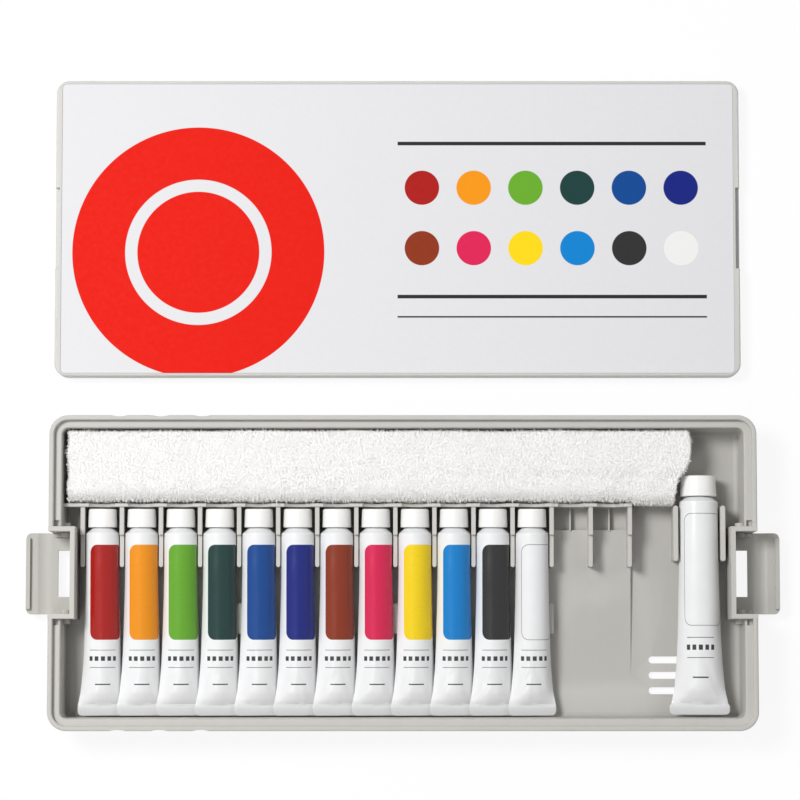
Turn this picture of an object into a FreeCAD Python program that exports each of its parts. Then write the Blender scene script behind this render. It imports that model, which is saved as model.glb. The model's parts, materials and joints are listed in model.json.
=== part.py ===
import FreeCAD, Part
import math
import os
import re
import Sketcher

# A paint box: an open tray with two end latches, a lift-off lid laid behind it,
# a folded towel, twelve small paint tubes and one large one.
# Millimetres, +Z up, origin at the middle of the tray's base.

os.makedirs("parts", exist_ok=True)
doc = FreeCAD.newDocument("paint_box")
sheet = doc.addObject("Spreadsheet::Sheet", "Sizes")

SIZES = {
    # Sleeves of the two kinds of tube, from the shoulder to the end of the crimp
    "small_tube_diameter": 16.0,
    "small_tube_length": 88.0,
    "small_shoulder_height": 3.0,
    "small_shoulder_top": 9.2,
    "small_neck_diameter": 8.0,
    "small_neck_length": 7.0,
    "small_bore": 4.0,
    "small_crimp_width": 23.6,
    "small_roll": 8.0,
    "large_tube_diameter": 19.0,
    "large_tube_length": 102.4,
    "large_shoulder_height": 3.2,
    "large_shoulder_top": 11.6,
    "large_neck_diameter": 10.0,
    "large_neck_length": 8.0,
    "large_bore": 5.0,
    "large_crimp_width": 29.4,
    "large_roll": 0.0,
    "tube_wall": 0.3,
    "crimp_length": 5.5,
    "crimp_thickness": 1.4,
    "crimp_corner": 2.3,
    "crimp_overlap": 0.6,
    "paint_gap": 0.15,
    # Screw caps
    "small_cap_base": 14.0,
    "small_cap_top": 13.5,
    "small_cap_length": 9.0,
    "large_cap_base": 17.8,
    "large_cap_top": 16.6,
    "large_cap_length": 10.0,
    "cap_chamfer": 0.7,
    "cap_end_thickness": 1.5,
    "cap_thread_gap": 0.3,
    "cap_shoulder_gap": 0.4,
    # Cross-sections of a sleeve: place, width and height against the round end
    "collar_place": 0.25,
    "collar_width": 1.01,
    "collar_height": 0.995,
    "belly_place": 0.50,
    "belly_width": 1.07,
    "belly_height": 0.95,
    "swell_place": 0.74,
    "swell_width": 1.15,
    "swell_height": 0.87,
    "flare_place": 0.92,
    "flare_width": 1.29,
    "flare_height": 0.62,
    "pinch_place": 0.975,
    "pinch_width": 1.40,
    "pinch_height": 0.32,
    "fold_place": 1.0,
    "fold_width": 1.45,
    "fold_height": 0.12,
    # Tube rack
    "bay_count": 14,
    "rib_thickness": 2.1,
    "bay_clearance": 0.45,
    "rib_length": 29.2,
    "rib_tall_length": 13.6,
    "rib_low_height": 12.0,
    "rib_tall_height": 14.5,
    "cross_wall": 1.6,
    "cross_wall_height": 15.5,
    "head_width": 6.0,
    "dip_depth": 4.0,
    "cap_end_gap": 0.9,
    "cap_rib_width": 0.8,
    "cap_rib_gap": 0.3,
    "bed_rise": 3.0,
    "bed_length": 70.7,
    "bed_overhang": 2.5,
    "seat_gap": 0.25,
    "post_length": 15.0,
    "post_setback": 17.4,
    "post_height": 6.5,
    "post_every": 4,
    # Place of the large tube
    "large_bay_clearance": 0.75,
    "large_rib_thickness": 2.4,
    "large_rib_length": 27.0,
    "large_rib_height": 15.0,
    "large_rib_setback": 1.0,
    "large_front_gap": 1.6,
    "spare_gap": 20.0,
    "side_margin": 8.5,
    "front_gap": 1.2,
    # Towel
    "towel_width": 34.5,
    "towel_height": 20.5,
    "towel_side_gap": 1.4,
    "towel_cap_gap": 1.1,
    "towel_gap": 0.9,
    "towel_seat_gap": 0.1,
    "towel_round": 8.0,
    "towel_edge_round": 6.0,
    "towel_end_width": 20.7,
    "towel_end_length": 16.0,
    "towel_end_reach": 6.3,
    # Tray shell
    "floor_thickness": 2.0,
    "inner_depth": 22.0,
    "inner_corner": 3.2,
    "tray_wall": 2.0,
    "wall_draft": 2.0,
    "floor_round": 2.5,
    "base_round": 1.5,
    "ledge_width": 3.6,
    "lip_width": 2.4,
    "lip_height": 3.0,
    "rim_depth": 3.2,
    "lip_round": 0.8,
    "lip_bevel": 0.5,
    "bevel_angle": 45.0,
    "root_depth": 0.5,
    # Drain slots in the floor
    "slot_count": 3,
    "slot_width": 3.4,
    "slot_length": 30.0,
    "slot_pitch": 7.5,
    "slot_front": 13.3,
    "slot_offset": 8.6,
    # Shallow reliefs in the outer edge of the lip
    "relief_count": 3,
    "relief_pitch": 20.0,
    "relief_start": 34.0,
    "relief_length": 8.0,
    "relief_depth": 0.6,
    # Latches and their bays
    "latch_bay_width": 40.0,
    "latch_bay_depth": 10.5,
    "latch_bay_wall": 2.3,
    "latch_side_gap": 0.25,
    "latch_heel_gap": 3.5,
    "pivot_height": 12.5,
    "trunnion_radius": 1.5,
    "trunnion_length": 3.0,
    "pivot_gap": 0.05,
    "pivot_depth_gap": 0.3,
    "boss_radius": 2.5,
    "boss_length": 2.2,
    "pit_length": 3.0,
    "pit_inset": 1.0,
    "pit_depth": 2.0,
    "latch_plate": 2.0,
    "latch_inset": 0.3,
    "latch_reach": 19.5,
    "latch_corner": 2.4,
    "latch_round": 0.5,
    "latch_gap_width": 22.6,
    "latch_gap_end": 4.0,
    "latch_heel": 2.0,
    "ear_thickness": 2.0,
    "ear_radius": 2.4,
    "ear_tail": 6.0,
    "ear_tail_height": 2.0,
    "hook_thickness": 2.0,
    "hook_rise": 2.2,
    "grip_radius": 9.0,
    "grip_depth": 0.6,
    "grip_reach": 10.5,
    "stop_width": 1.0,
    "stop_length": 4.0,
    "stop_thickness": 1.2,
    "stop_gap": 0.3,
    # Lid
    "lid_gap": 0.4,
    "lid_height": 9.0,
    "lid_wall": 2.0,
    "lid_top": 1.8,
    "lid_round": 1.0,
    "catch_depth": 2.0,
    "catch_gap": 0.3,
    "catch_wall": 2.0,
    "card_thickness": 0.4,
    "card_end_margin": 3.0,
    "card_side_margin": 1.6,
    "card_gap": 0.1,
    "card_corner": 2.0,
    "lid_distance": 20.5,
    "lid_shift": -2.6,
}

FORMULAS = {
    # Heights
    "ledge_z": "floor_thickness + inner_depth",
    "rim_z": "ledge_z + lip_height",
    # Along the tray
    "bay_pitch": "small_tube_diameter + 2 * bay_clearance + rib_thickness",
    "rack_length": "bay_count * bay_pitch + rib_thickness",
    "large_bay": "large_tube_diameter + 2 * large_bay_clearance",
    "large_place": "large_bay + 2 * large_rib_thickness",
    "inner_length": "2 * side_margin + rack_length + spare_gap + large_place",
    "inner_half": "inner_length / 2",
    "rack_left": "side_margin - inner_half",
    "rack_right": "rack_left + rack_length",
    "first_rib_x": "rack_left + rib_thickness / 2",
    "first_bay_x": "first_rib_x + bay_pitch / 2",
    "large_x": "inner_half - side_margin - large_place / 2",
    # Across the tray
    "paint_inset": "tube_wall + paint_gap",
    "tube_tilt": "atan(bed_rise / bed_length) / 1 deg",
    "nose_length": "small_shoulder_height + cap_shoulder_gap + small_cap_length",
    "small_reach": "small_tube_length * cos(tube_tilt) + nose_length",
    "towel_place": "towel_width + 2 * towel_gap",
    "small_need": "front_gap + small_reach + cap_end_gap + cross_wall + towel_place",
    "large_nose": "large_shoulder_height + cap_shoulder_gap + large_cap_length",
    "large_reach": "large_front_gap + large_tube_length + large_nose",
    "large_need": "large_reach + towel_cap_gap + towel_end_width + towel_gap",
    "inner_width": "max(small_need; large_need)",
    "inner_width_half": "inner_width / 2",
    "cross_wall_y": "inner_width_half - towel_place - cross_wall",
    "shoulder_y": "cross_wall_y - cap_end_gap - nose_length",
    "bed_back": "shoulder_y + bed_overhang",
    "bed_front": "bed_back - bed_length",
    "shoulder_rise": "bed_rise * (shoulder_y - bed_front) / bed_length",
    "tube_seat": "(small_tube_diameter / 2 + seat_gap) / cos(tube_tilt)",
    "shoulder_z": "floor_thickness + shoulder_rise + tube_seat",
    "nose_drop": "small_cap_base / 2 * cos(tube_tilt)",
    "cap_rib_top": "shoulder_z - nose_drop - cap_rib_gap",
    "large_shoulder_y": "large_front_gap - inner_width_half + large_tube_length",
    "large_shoulder_z": "floor_thickness + large_tube_diameter / 2 + seat_gap",
    # Rack details
    "rib_end_y": "cross_wall_y - rib_length + rib_thickness / 2",
    "rib_back_y": "cross_wall_y + cross_wall / 2",
    "post_back_y": "cross_wall_y - rib_length - post_setback",
    "root_z": "floor_thickness - root_depth",
    "cross_wall_top": "floor_thickness + cross_wall_height",
    "dip_half": "(bay_pitch - head_width) / 2",
    "dip_radius": "(dip_half ^ 2 + dip_depth ^ 2) / (2 * dip_depth)",
    "large_rib_back": "large_shoulder_y - large_rib_setback",
    "large_rib_step": "(large_bay + large_rib_thickness) / 2",
    # Towel
    "towel_left": "towel_side_gap - inner_half",
    "towel_right": "large_x - large_cap_base / 2 - towel_cap_gap",
    "towel_length": "towel_right - towel_left",
    "towel_back": "inner_width_half - towel_gap",
    "towel_bottom": "floor_thickness + towel_seat_gap",
    "towel_top": "towel_bottom + towel_height",
    # Tray outlines
    "wall_length": "inner_length + 2 * tray_wall",
    "wall_width": "inner_width + 2 * tray_wall",
    "wall_corner": "inner_corner + tray_wall",
    "recess_length": "inner_length + 2 * ledge_width",
    "recess_width": "inner_width + 2 * ledge_width",
    "recess_corner": "inner_corner + ledge_width",
    "outer_length": "recess_length + 2 * lip_width",
    "outer_width": "recess_width + 2 * lip_width",
    "outer_corner": "recess_corner + lip_width",
    "bevel_spread": "2 * (lip_bevel + root_depth) * tan(bevel_angle)",
    "bevel_corner": "bevel_spread / 2",
    "flare_length": "recess_length + bevel_spread",
    "flare_breadth": "recess_width + bevel_spread",
    "flare_corner": "recess_corner + bevel_corner",
    "mouth_length": "inner_length + bevel_spread",
    "mouth_breadth": "inner_width + bevel_spread",
    "mouth_corner": "inner_corner + bevel_corner",
    "outer_half": "outer_length / 2",
    "outer_width_half": "outer_width / 2",
    "relief_radius": "(relief_length ^ 2 / 4 + relief_depth ^ 2) / (2 * relief_depth)",
    # Latches
    "bay_half": "latch_bay_width / 2",
    "bay_inside": "outer_half - latch_bay_depth",
    "bay_block": "bay_inside - latch_bay_wall",
    "pivot_x": "bay_inside + latch_heel_gap",
    "latch_half": "bay_half - latch_side_gap",
    "latch_outside": "outer_half - latch_inset - pivot_x",
    "latch_inside": "latch_outside - latch_plate",
    "latch_bottom": "pivot_height - latch_outside",
    "latch_top": "pivot_height - latch_inside",
    "flap_length": "latch_reach - latch_gap_end",
    "flap_width": "2 * latch_half",
    "flap_middle": "pivot_x + latch_gap_end + flap_length / 2",
    # Lid
    "lid_length": "recess_length - 2 * lid_gap",
    "lid_width": "recess_width - 2 * lid_gap",
    "lid_corner": "recess_corner - lid_gap",
    "lid_half": "lid_length / 2",
    "lid_inner_length": "lid_length - 2 * lid_wall",
    "lid_inner_width": "lid_width - 2 * lid_wall",
    "lid_inner_corner": "lid_corner - lid_wall",
    "lid_y": "outer_width_half + lid_distance + lid_width / 2",
    "catch_shelf": "pivot_height + latch_reach - hook_thickness - catch_gap - ledge_z",
    "card_seat_length": "lid_length - 2 * card_end_margin",
    "card_seat_width": "lid_width - 2 * card_side_margin",
    "card_length": "card_seat_length - 2 * card_gap",
    "card_width": "card_seat_width - 2 * card_gap",
    "card_seat": "lid_height - card_thickness",
}

KINDS = ("small", "large")
STATIONS = ("collar", "belly", "swell", "flare", "pinch", "fold")
SMALL_TUBES = (
    "carmine",
    "deep_yellow",
    "light_green",
    "viridian",
    "ultramarine",
    "violet",
    "burnt_sienna",
    "magenta",
    "yellow",
    "cyan",
    "black",
    "white",
)

for kind in KINDS:
    FORMULAS[f"{kind}_radius"] = f"{kind}_tube_diameter / 2"
    FORMULAS[f"{kind}_sleeve"] = f"{kind}_tube_length - crimp_length"
    for station in STATIONS:
        FORMULAS[f"{kind}_{station}_a"] = f"{kind}_radius * {station}_width"
        FORMULAS[f"{kind}_{station}_b"] = f"{kind}_radius * {station}_height"

row = 0
for alias, entry in list(SIZES.items()) + list(FORMULAS.items()):
    row += 1
    sheet.set(f"A{row}", alias)
    sheet.set(f"B{row}", "=" + entry if alias in FORMULAS else str(entry))
    sheet.setAlias(f"B{row}", alias)
doc.recompute()
NAMES = set(SIZES) | set(FORMULAS)
WORD = re.compile(r"[A-Za-z_][A-Za-z_0-9]*")


def in_sheet(formula):
    """A formula of size names, as the document's expressions write it."""
    return WORD.sub(lambda m: "Sizes." + m.group() if m.group() in NAMES else m.group(), formula)


def number(alias):
    """The present value of one named size."""
    return float(sheet.get(alias))


def bind(thing, prop, formula):
    thing.setExpression(prop, in_sheet(str(formula)))


def place(thing, x="0", y="0", z="0"):
    for axis, formula in zip("xyz", (x, y, z)):
        bind(thing, "Placement.Base." + axis, formula)


def box(name, low, high):
    """A block between two corners, each given as three formulas."""
    block = doc.addObject("Part::Box", name)
    place(block, *low)
    for prop, start, end in zip(("Length", "Width", "Height"), low, high):
        bind(block, prop, f"({end}) - ({start})")
    return block


def upright(name, x, y, bottom, top, radius):
    """A cylinder that stands along Z."""
    post = doc.addObject("Part::Cylinder", name)
    place(post, x, y, bottom)
    bind(post, "Radius", radius)
    bind(post, "Height", f"({top}) - ({bottom})")
    return post


def crosswise(name, x, start, end, z, radius):
    """A cylinder that lies along Y."""
    bar = doc.addObject("Part::Cylinder", name)
    bar.Placement.Rotation = FreeCAD.Rotation(FreeCAD.Vector(1, 0, 0), -90)
    place(bar, x, start, z)
    bind(bar, "Radius", radius)
    bind(bar, "Height", f"({end}) - ({start})")
    return bar


def cone(name, low_radius, high_radius, bottom, top):
    taper = doc.addObject("Part::Cone", name)
    place(taper, z=bottom)
    bind(taper, "Radius1", low_radius)
    bind(taper, "Radius2", high_radius)
    bind(taper, "Height", f"({top}) - ({bottom})")
    return taper


def fuse(name, pieces):
    joined = doc.addObject("Part::MultiFuse", name)
    joined.Shapes = pieces
    joined.Refine = True
    return joined


def cut(name, base, tools):
    remains = doc.addObject("Part::Cut", name)
    remains.Base = base
    remains.Tool = tools[0] if len(tools) == 1 else fuse(name + "_cutters", tools)
    remains.Refine = True
    return remains


def origin_plane(body, role):
    return next(item for item in body.Origin.OriginFeatures if item.Role == role)


def new_sketch(body, name, height):
    sketch = body.newObject("Sketcher::SketchObject", name)
    sketch.AttachmentSupport = [(origin_plane(body, "XY_Plane"), "")]
    sketch.MapMode = "FlatFace"
    bind(sketch, "AttachmentOffset.Base.z", height)
    return sketch


def dimension(sketch, name, formula, *constraint):
    index = sketch.addConstraint(Sketcher.Constraint(*constraint))
    sketch.renameConstraint(index, name)
    bind(sketch, "Constraints." + name, formula)


def rounded_outline(body, name, length, width, radius, height):
    """A rectangle with round corners about the middle of the sketch, from three named sizes."""
    sketch = new_sketch(body, name, height)
    half_x = number(length) / 2
    half_y = number(width) / 2
    r = number(radius)
    corners = ((1, -1, 270), (1, 1, 0), (-1, 1, 90), (-1, -1, 180))
    vector = FreeCAD.Vector
    for sign_x, sign_y, angle in corners:
        centre = vector(sign_x * (half_x - r), sign_y * (half_y - r), 0)
        circle = Part.Circle(centre, vector(0, 0, 1), r)
        start = math.radians(angle)
        sketch.addGeometry(Part.ArcOfCircle(circle, start, start + math.pi / 2), False)
    for arc in range(4):
        following = (arc + 1) % 4
        start = sketch.Geometry[arc].EndPoint
        end = sketch.Geometry[following].StartPoint
        line = sketch.addGeometry(Part.LineSegment(start, end), False)
        sketch.addConstraint(Sketcher.Constraint("Tangent", arc, 2, line, 1))
        sketch.addConstraint(Sketcher.Constraint("Tangent", line, 2, following, 1))
        direction = "Vertical" if arc % 2 == 0 else "Horizontal"
        sketch.addConstraint(Sketcher.Constraint(direction, line))
    for arc in range(1, 4):
        sketch.addConstraint(Sketcher.Constraint("Equal", 0, arc))
    sketch.addConstraint(Sketcher.Constraint("Symmetric", 1, 3, 3, 3, -1, 1))
    dimension(sketch, "corner", radius, "Radius", 0, r)
    dimension(sketch, "span_x", f"{length} / 2 - {radius}", "DistanceX", -1, 1, 1, 3, half_x - r)
    dimension(sketch, "span_y", f"{width} / 2 - {radius}", "DistanceY", -1, 1, 1, 3, half_y - r)
    return sketch


def level_edges(feature, height):
    """Names of the edges that lie wholly at one height."""
    names = []
    for index, edge in enumerate(feature.Shape.Edges, 1):
        bounds = edge.BoundBox
        if abs(bounds.ZMin - height) < 1e-4 and abs(bounds.ZMax - height) < 1e-4:
            names.append(f"Edge{index}")
    return names


def slab(name, length, width, radius, bottom, top, x="0", y="0", draft=None, rounds=()):
    """A plate with round corners; a draft narrows it downwards, rounds lists (side, radius)."""
    body = doc.addObject("PartDesign::Body", name)
    outline = rounded_outline(body, name + "_outline", length, width, radius, top)
    pad = body.newObject("PartDesign::Pad", name + "_pad")
    pad.Profile = outline
    pad.Reversed = True
    bind(pad, "Length", f"({top}) - ({bottom})")
    if draft:
        bind(pad, "TaperAngle", f"0 - {draft}")
    outline.Visibility = False
    for side, edge_radius in rounds:
        doc.recompute()
        base = body.Tip
        bounds = base.Shape.BoundBox
        height = bounds.ZMin if side == "bottom" else bounds.ZMax
        rounding = body.newObject("PartDesign::Fillet", f"{name}_{side}_round")
        rounding.Base = (base, level_edges(base, height))
        bind(rounding, "Radius", edge_radius)
    place(body, x, y)
    return body


def lens_section(body, name, half_width, half_height, inset, height):
    """Two arcs that meet at the sides: a round end, or a squeezed section with a crease each side."""
    sketch = new_sketch(body, name, height)
    margin = number(inset) if inset else 0.0
    a = number(half_width) - margin
    b = number(half_height) - margin
    radius = (a * a + b * b) / (2 * b)
    tip = math.atan2(radius - b, a)
    vector = FreeCAD.Vector
    upper = Part.Circle(vector(0, b - radius, 0), vector(0, 0, 1), radius)
    lower = Part.Circle(vector(0, radius - b, 0), vector(0, 0, 1), radius)
    sketch.addGeometry(Part.ArcOfCircle(upper, tip, math.pi - tip), False)
    sketch.addGeometry(Part.ArcOfCircle(lower, math.pi + tip, 2 * math.pi - tip), False)
    sketch.addConstraint(Sketcher.Constraint("Coincident", 0, 2, 1, 1))
    sketch.addConstraint(Sketcher.Constraint("Coincident", 1, 2, 0, 1))
    sketch.addConstraint(Sketcher.Constraint("Symmetric", 0, 1, 0, 2, -2))
    sketch.addConstraint(Sketcher.Constraint("PointOnObject", 0, 1, -1))
    wide = f"({half_width} - {inset})" if inset else half_width
    high = f"({half_height} - {inset})" if inset else half_height
    dimension(sketch, "half_width", wide, "DistanceX", -1, 1, 0, 1, a)
    for arc, label in ((0, "upper"), (1, "lower")):
        if half_width == half_height:
            sketch.addConstraint(Sketcher.Constraint("PointOnObject", arc, 3, -1))
        else:
            bend = f"({wide} ^ 2 + {high} ^ 2) / (2 * {high})"
            dimension(sketch, label, bend, "Radius", arc, radius)
    return sketch


def sleeve_form(name, kind, inset):
    """A round end that is squeezed flat along its length."""
    body = doc.addObject("PartDesign::Body", name)
    end = f"{kind}_radius"
    sections = [lens_section(body, name + "_round_end", end, end, inset, "0")]
    for station in STATIONS:
        alias = f"{kind}_{station}"
        height = f"0 - {kind}_sleeve * {station}_place"
        sections.append(lens_section(body, f"{name}_{station}", alias + "_a", alias + "_b", inset, height))
    loft = body.newObject("PartDesign::AdditiveLoft", name + "_loft")
    loft.Profile = sections[0]
    loft.Sections = sections[1:]
    return body


def crimp(kind):
    """The flat folded end, with round corners."""
    half = f"{kind}_crimp_width / 2"
    end = f"0 - {kind}_tube_length"
    inner = f"crimp_overlap - {kind}_sleeve"
    front = "0 - crimp_thickness / 2"
    back = "crimp_thickness / 2"
    corner_x = f"{half} - crimp_corner"
    corner_z = f"crimp_corner - {kind}_tube_length"
    pieces = [
        box(f"{kind}_crimp_wide", (f"0 - {half}", front, corner_z), (half, back, inner)),
        box(f"{kind}_crimp_narrow", (f"0 - ({corner_x})", front, end), (corner_x, back, inner)),
    ]
    for side, sign in (("left", "0 - "), ("right", "")):
        name = f"{kind}_crimp_{side}"
        pieces.append(crosswise(name, f"{sign}({corner_x})", front, back, corner_z, "crimp_corner"))
    return pieces


def tube_sleeve(kind):
    """The metal sleeve: a hollow squeezed body, a shoulder and a neck with its bore."""
    shoulder_top = f"{kind}_shoulder_height"
    neck_top = f"{kind}_shoulder_height + {kind}_neck_length"
    solid = [
        sleeve_form(f"{kind}_outside", kind, None),
        cone(f"{kind}_shoulder", f"{kind}_radius", f"{kind}_shoulder_top / 2", "0", shoulder_top),
        upright(f"{kind}_neck", "0", "0", shoulder_top, neck_top, f"{kind}_neck_diameter / 2"),
    ]
    hollow = [
        sleeve_form(f"{kind}_inside", kind, "tube_wall"),
        cone(f"{kind}_funnel", f"{kind}_radius - tube_wall", f"{kind}_bore / 2", "0", shoulder_top),
        upright(f"{kind}_bore_hole", "0", "0", "0", neck_top + " + root_depth", f"{kind}_bore / 2"),
    ]
    return cut(f"{kind}_sleeve_form", fuse(f"{kind}_solid", solid + crimp(kind)), hollow)


def tube_paint(kind):
    """The filling, a little clear of the sleeve."""
    shoulder_top = f"{kind}_shoulder_height"
    neck_top = f"{kind}_shoulder_height + {kind}_neck_length"
    core = f"{kind}_bore / 2 - paint_gap"
    return fuse(
        f"{kind}_paint_form",
        [
            sleeve_form(f"{kind}_filling", kind, "paint_inset"),
            cone(f"{kind}_filling_cone", f"{kind}_radius - paint_inset", core, "0", shoulder_top),
            upright(f"{kind}_filling_neck", "0", "0", "0", neck_top, core),
        ],
    )


def tube_cap(kind):
    """A slightly tapered screw cap with a bevelled top edge."""
    start = f"{kind}_shoulder_height + cap_shoulder_gap"
    end = f"{start} + {kind}_cap_length"
    rim = f"{end} - cap_chamfer"
    top = f"{kind}_cap_top / 2"
    skirt = cone(f"{kind}_cap_skirt", f"{kind}_cap_base / 2", top, start, rim)
    bevel = cone(f"{kind}_cap_bevel", top, f"{top} - cap_chamfer", rim, end)
    bore = f"{kind}_neck_diameter / 2 + cap_thread_gap"
    hole_end = f"{end} - cap_end_thickness"
    hole = upright(f"{kind}_cap_hole", "0", "0", f"{start} - root_depth", hole_end, bore)
    return cut(f"{kind}_cap_form", fuse(f"{kind}_cap_solid", [skirt, bevel]), [hole])


def roll(form, kind):
    """Turns a finished form about the tube's own axis."""
    form.Placement.Rotation = FreeCAD.Rotation(FreeCAD.Vector(0, 0, 1), number(f"{kind}_roll"))
    bind(form, "Placement.Rotation.Angle", f"{kind}_roll")


def laid_down(name, form, x, y, z, tilt):
    """A copy of an upright form, laid with its neck towards the back and raised by a tilt."""
    link = doc.addObject("App::Link", name)
    link.LinkedObject = form
    link.LinkTransform = True
    turn = FreeCAD.Rotation(FreeCAD.Vector(-1, 0, 0), 90)
    link.Placement = FreeCAD.Placement(FreeCAD.Vector(), turn)
    bind(link, "Placement.Rotation.Angle", f"90 - {tilt}")
    place(link, x, y, z)
    return link


def rib(name, x, thickness, front, back, top):
    """A wall along Y with a round front end; the back end runs into what is behind it."""
    half = f"{thickness} / 2"
    wall = box(name, (f"{x} - {half}", front, "root_z"), (f"{x} + {half}", back, top))
    return [wall, upright(name + "_end", x, front, "root_z", top, half)]


def tube_rack():
    """Ribs, cross wall, sloped bed, cap ribs and posts of the small tubes' rack."""
    pieces = []
    count = int(number("bay_count"))
    low = "floor_thickness + rib_low_height"
    tall = "floor_thickness + rib_tall_height"
    for index in range(count + 1):
        x = f"first_rib_x + {index} * bay_pitch"
        pieces += rib(f"rib_{index}", x, "rib_thickness", "rib_end_y", "rib_back_y", low)
        front = "cross_wall_y - rib_tall_length"
        pieces.append(
            box(
                f"rib_{index}_tall",
                (f"{x} - rib_thickness / 2", front, "root_z"),
                (f"{x} + rib_thickness / 2", "rib_back_y", tall),
            )
        )
    for index in range(count):
        x = f"first_bay_x + {index} * bay_pitch"
        pieces.append(
            box(
                f"cap_rib_{index}",
                (f"{x} - cap_rib_width / 2", "bed_back - root_depth", "root_z"),
                (f"{x} + cap_rib_width / 2", "rib_back_y", "cap_rib_top"),
            )
        )
    every = int(number("post_every"))
    for index in range(every, count, every):
        x = f"first_rib_x + {index} * bay_pitch"
        front = "post_back_y - post_length + rib_thickness / 2"
        back = "post_back_y - rib_thickness / 2"
        top = "floor_thickness + post_height"
        pieces += rib(f"post_{index}", x, "rib_thickness", front, back, top)
        pieces.append(upright(f"post_{index}_back", x, back, "root_z", top, "rib_thickness / 2"))
    pieces.append(cross_wall(count))
    pieces.append(tube_bed())
    return pieces


def cross_wall(count):
    """The wall between tubes and towel, which dips behind each cap."""
    left = "0 - inner_half - root_depth"
    back = "cross_wall_y + cross_wall"
    wall = box("cross_wall_plain", (left, "cross_wall_y", "root_z"), ("rack_right", back, "cross_wall_top"))
    dips = []
    for index in range(count):
        x = f"first_bay_x + {index} * bay_pitch"
        z = "cross_wall_top + dip_radius - dip_depth"
        start = "cross_wall_y - root_depth"
        dips.append(crosswise(f"dip_{index}", x, start, back + " + root_depth", z, "dip_radius"))
    return cut("cross_wall_dipped", wall, dips)


def tube_bed():
    """The floor under the small tubes, which rises towards their caps."""
    wedge = doc.addObject("Part::Wedge", "tube_bed")
    place(wedge, "rack_left", "bed_front", "floor_thickness")
    for prop, formula in (
        ("Xmin", "0"),
        ("Xmax", "rack_length"),
        ("X2min", "0"),
        ("X2max", "rack_length"),
        ("Ymin", "0"),
        ("Ymax", "bed_length"),
        ("Zmin", "0 - root_depth"),
        ("Zmax", "0"),
        ("Z2min", "0 - root_depth"),
        ("Z2max", "bed_rise"),
    ):
        bind(wedge, prop, formula)
    return wedge


def large_tube_ribs():
    pieces = []
    half = "large_rib_thickness / 2"
    top = "floor_thickness + large_rib_height"
    for side, sign in (("left", "-"), ("right", "+")):
        x = f"large_x {sign} large_rib_step"
        front = f"large_rib_back - large_rib_length + {half}"
        back = f"large_rib_back - {half}"
        pieces += rib(f"large_rib_{side}", x, "large_rib_thickness", front, back, top)
        pieces.append(upright(f"large_rib_{side}_back", x, back, "root_z", top, half))
    return pieces


def drain_slots():
    pieces = []
    radius = "slot_width / 2"
    left = "rack_right + slot_offset"
    under = "0 - root_depth"
    over = "floor_thickness + root_depth"
    for index in range(int(number("slot_count"))):
        y = f"slot_front - inner_width_half + {index} * slot_pitch"
        start = f"{left} + {radius}"
        end = f"{left} + slot_length - {radius}"
        name = f"slot_{index}"
        pieces.append(box(name, (start, f"{y} - {radius}", under), (end, f"{y} + {radius}", over)))
        pieces.append(upright(name + "_left", start, y, under, over, radius))
        pieces.append(upright(name + "_right", end, y, under, over, radius))
    return pieces


def lip_reliefs():
    """Shallow hollows in the outer edge of both long sides of the lip."""
    pieces = []
    low = "ledge_z - rim_depth - root_depth"
    high = "rim_z + root_depth"
    for index in range(int(number("relief_count"))):
        x = f"relief_start - outer_half + {index} * relief_pitch"
        y = "outer_width_half + relief_radius - relief_depth"
        pieces.append(upright(f"relief_{index}_back", x, y, low, high, "relief_radius"))
        pieces.append(upright(f"relief_{index}_front", x, f"0 - ({y})", low, high, "relief_radius"))
    return pieces


SIDES = ("right", "left")
ENDS = ("back", "front")


def end_span(end, low, high):
    """A stretch along Y; it is written for the back end and mirrored for the front."""
    if end == "back":
        return low, high
    return f"0 - ({high})", f"0 - ({low})"


def end_box(name, side, low, high):
    """A block at one short end; it is written for the right end and mirrored for the left."""
    if side == "right":
        return box(name, low, high)
    return box(name, (f"0 - ({high[0]})", low[1], low[2]), (f"0 - ({low[0]})", high[1], high[2]))


def latch_bays():
    """Blocks, cuts, pivot bosses and stops of the two latch bays."""
    blocks = []
    cuts = []
    stops = []
    outer_y = "bay_half + latch_bay_wall"
    hole_end = "latch_half + trunnion_length + pivot_depth_gap"
    boss_end = f"{outer_y} + boss_length"
    stop_top = "latch_bottom - stop_gap"
    for side in SIDES:
        blocks.append(
            end_box(
                f"bay_block_{side}",
                side,
                ("bay_block", f"0 - ({outer_y})", "0"),
                ("outer_half", outer_y, "rim_z"),
            )
        )
        cuts.append(
            end_box(
                f"bay_cut_{side}",
                side,
                ("bay_inside", "0 - bay_half", "0 - root_depth"),
                ("outer_half + root_depth", "bay_half", "rim_z + root_depth"),
            )
        )
        x = "pivot_x" if side == "right" else "0 - pivot_x"
        for end in ENDS:
            low, high = end_span(end, "bay_half", boss_end)
            name = f"boss_{side}_{end}"
            blocks.append(crosswise(name, x, low, high, "pivot_height", "boss_radius"))
            low, high = end_span(end, "0", hole_end)
            name = f"pivot_hole_{side}_{end}"
            cuts.append(crosswise(name, x, low, high, "pivot_height", "trunnion_radius + pivot_gap"))
            low, high = end_span(end, outer_y, f"{outer_y} + pit_length")
            cuts.append(
                end_box(
                    f"ledge_pit_{side}_{end}",
                    side,
                    ("inner_half + pit_inset", low, "ledge_z - pit_depth"),
                    ("outer_half - lip_width", high, "rim_z + root_depth"),
                )
            )
            low, high = end_span(end, "bay_half - stop_width", "bay_half + root_depth")
            stops.append(
                end_box(
                    f"latch_stop_{side}_{end}",
                    side,
                    ("outer_half - stop_length", low, f"{stop_top} - stop_thickness"),
                    ("outer_half", high, stop_top),
                )
            )
    return blocks, cuts, stops


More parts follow.
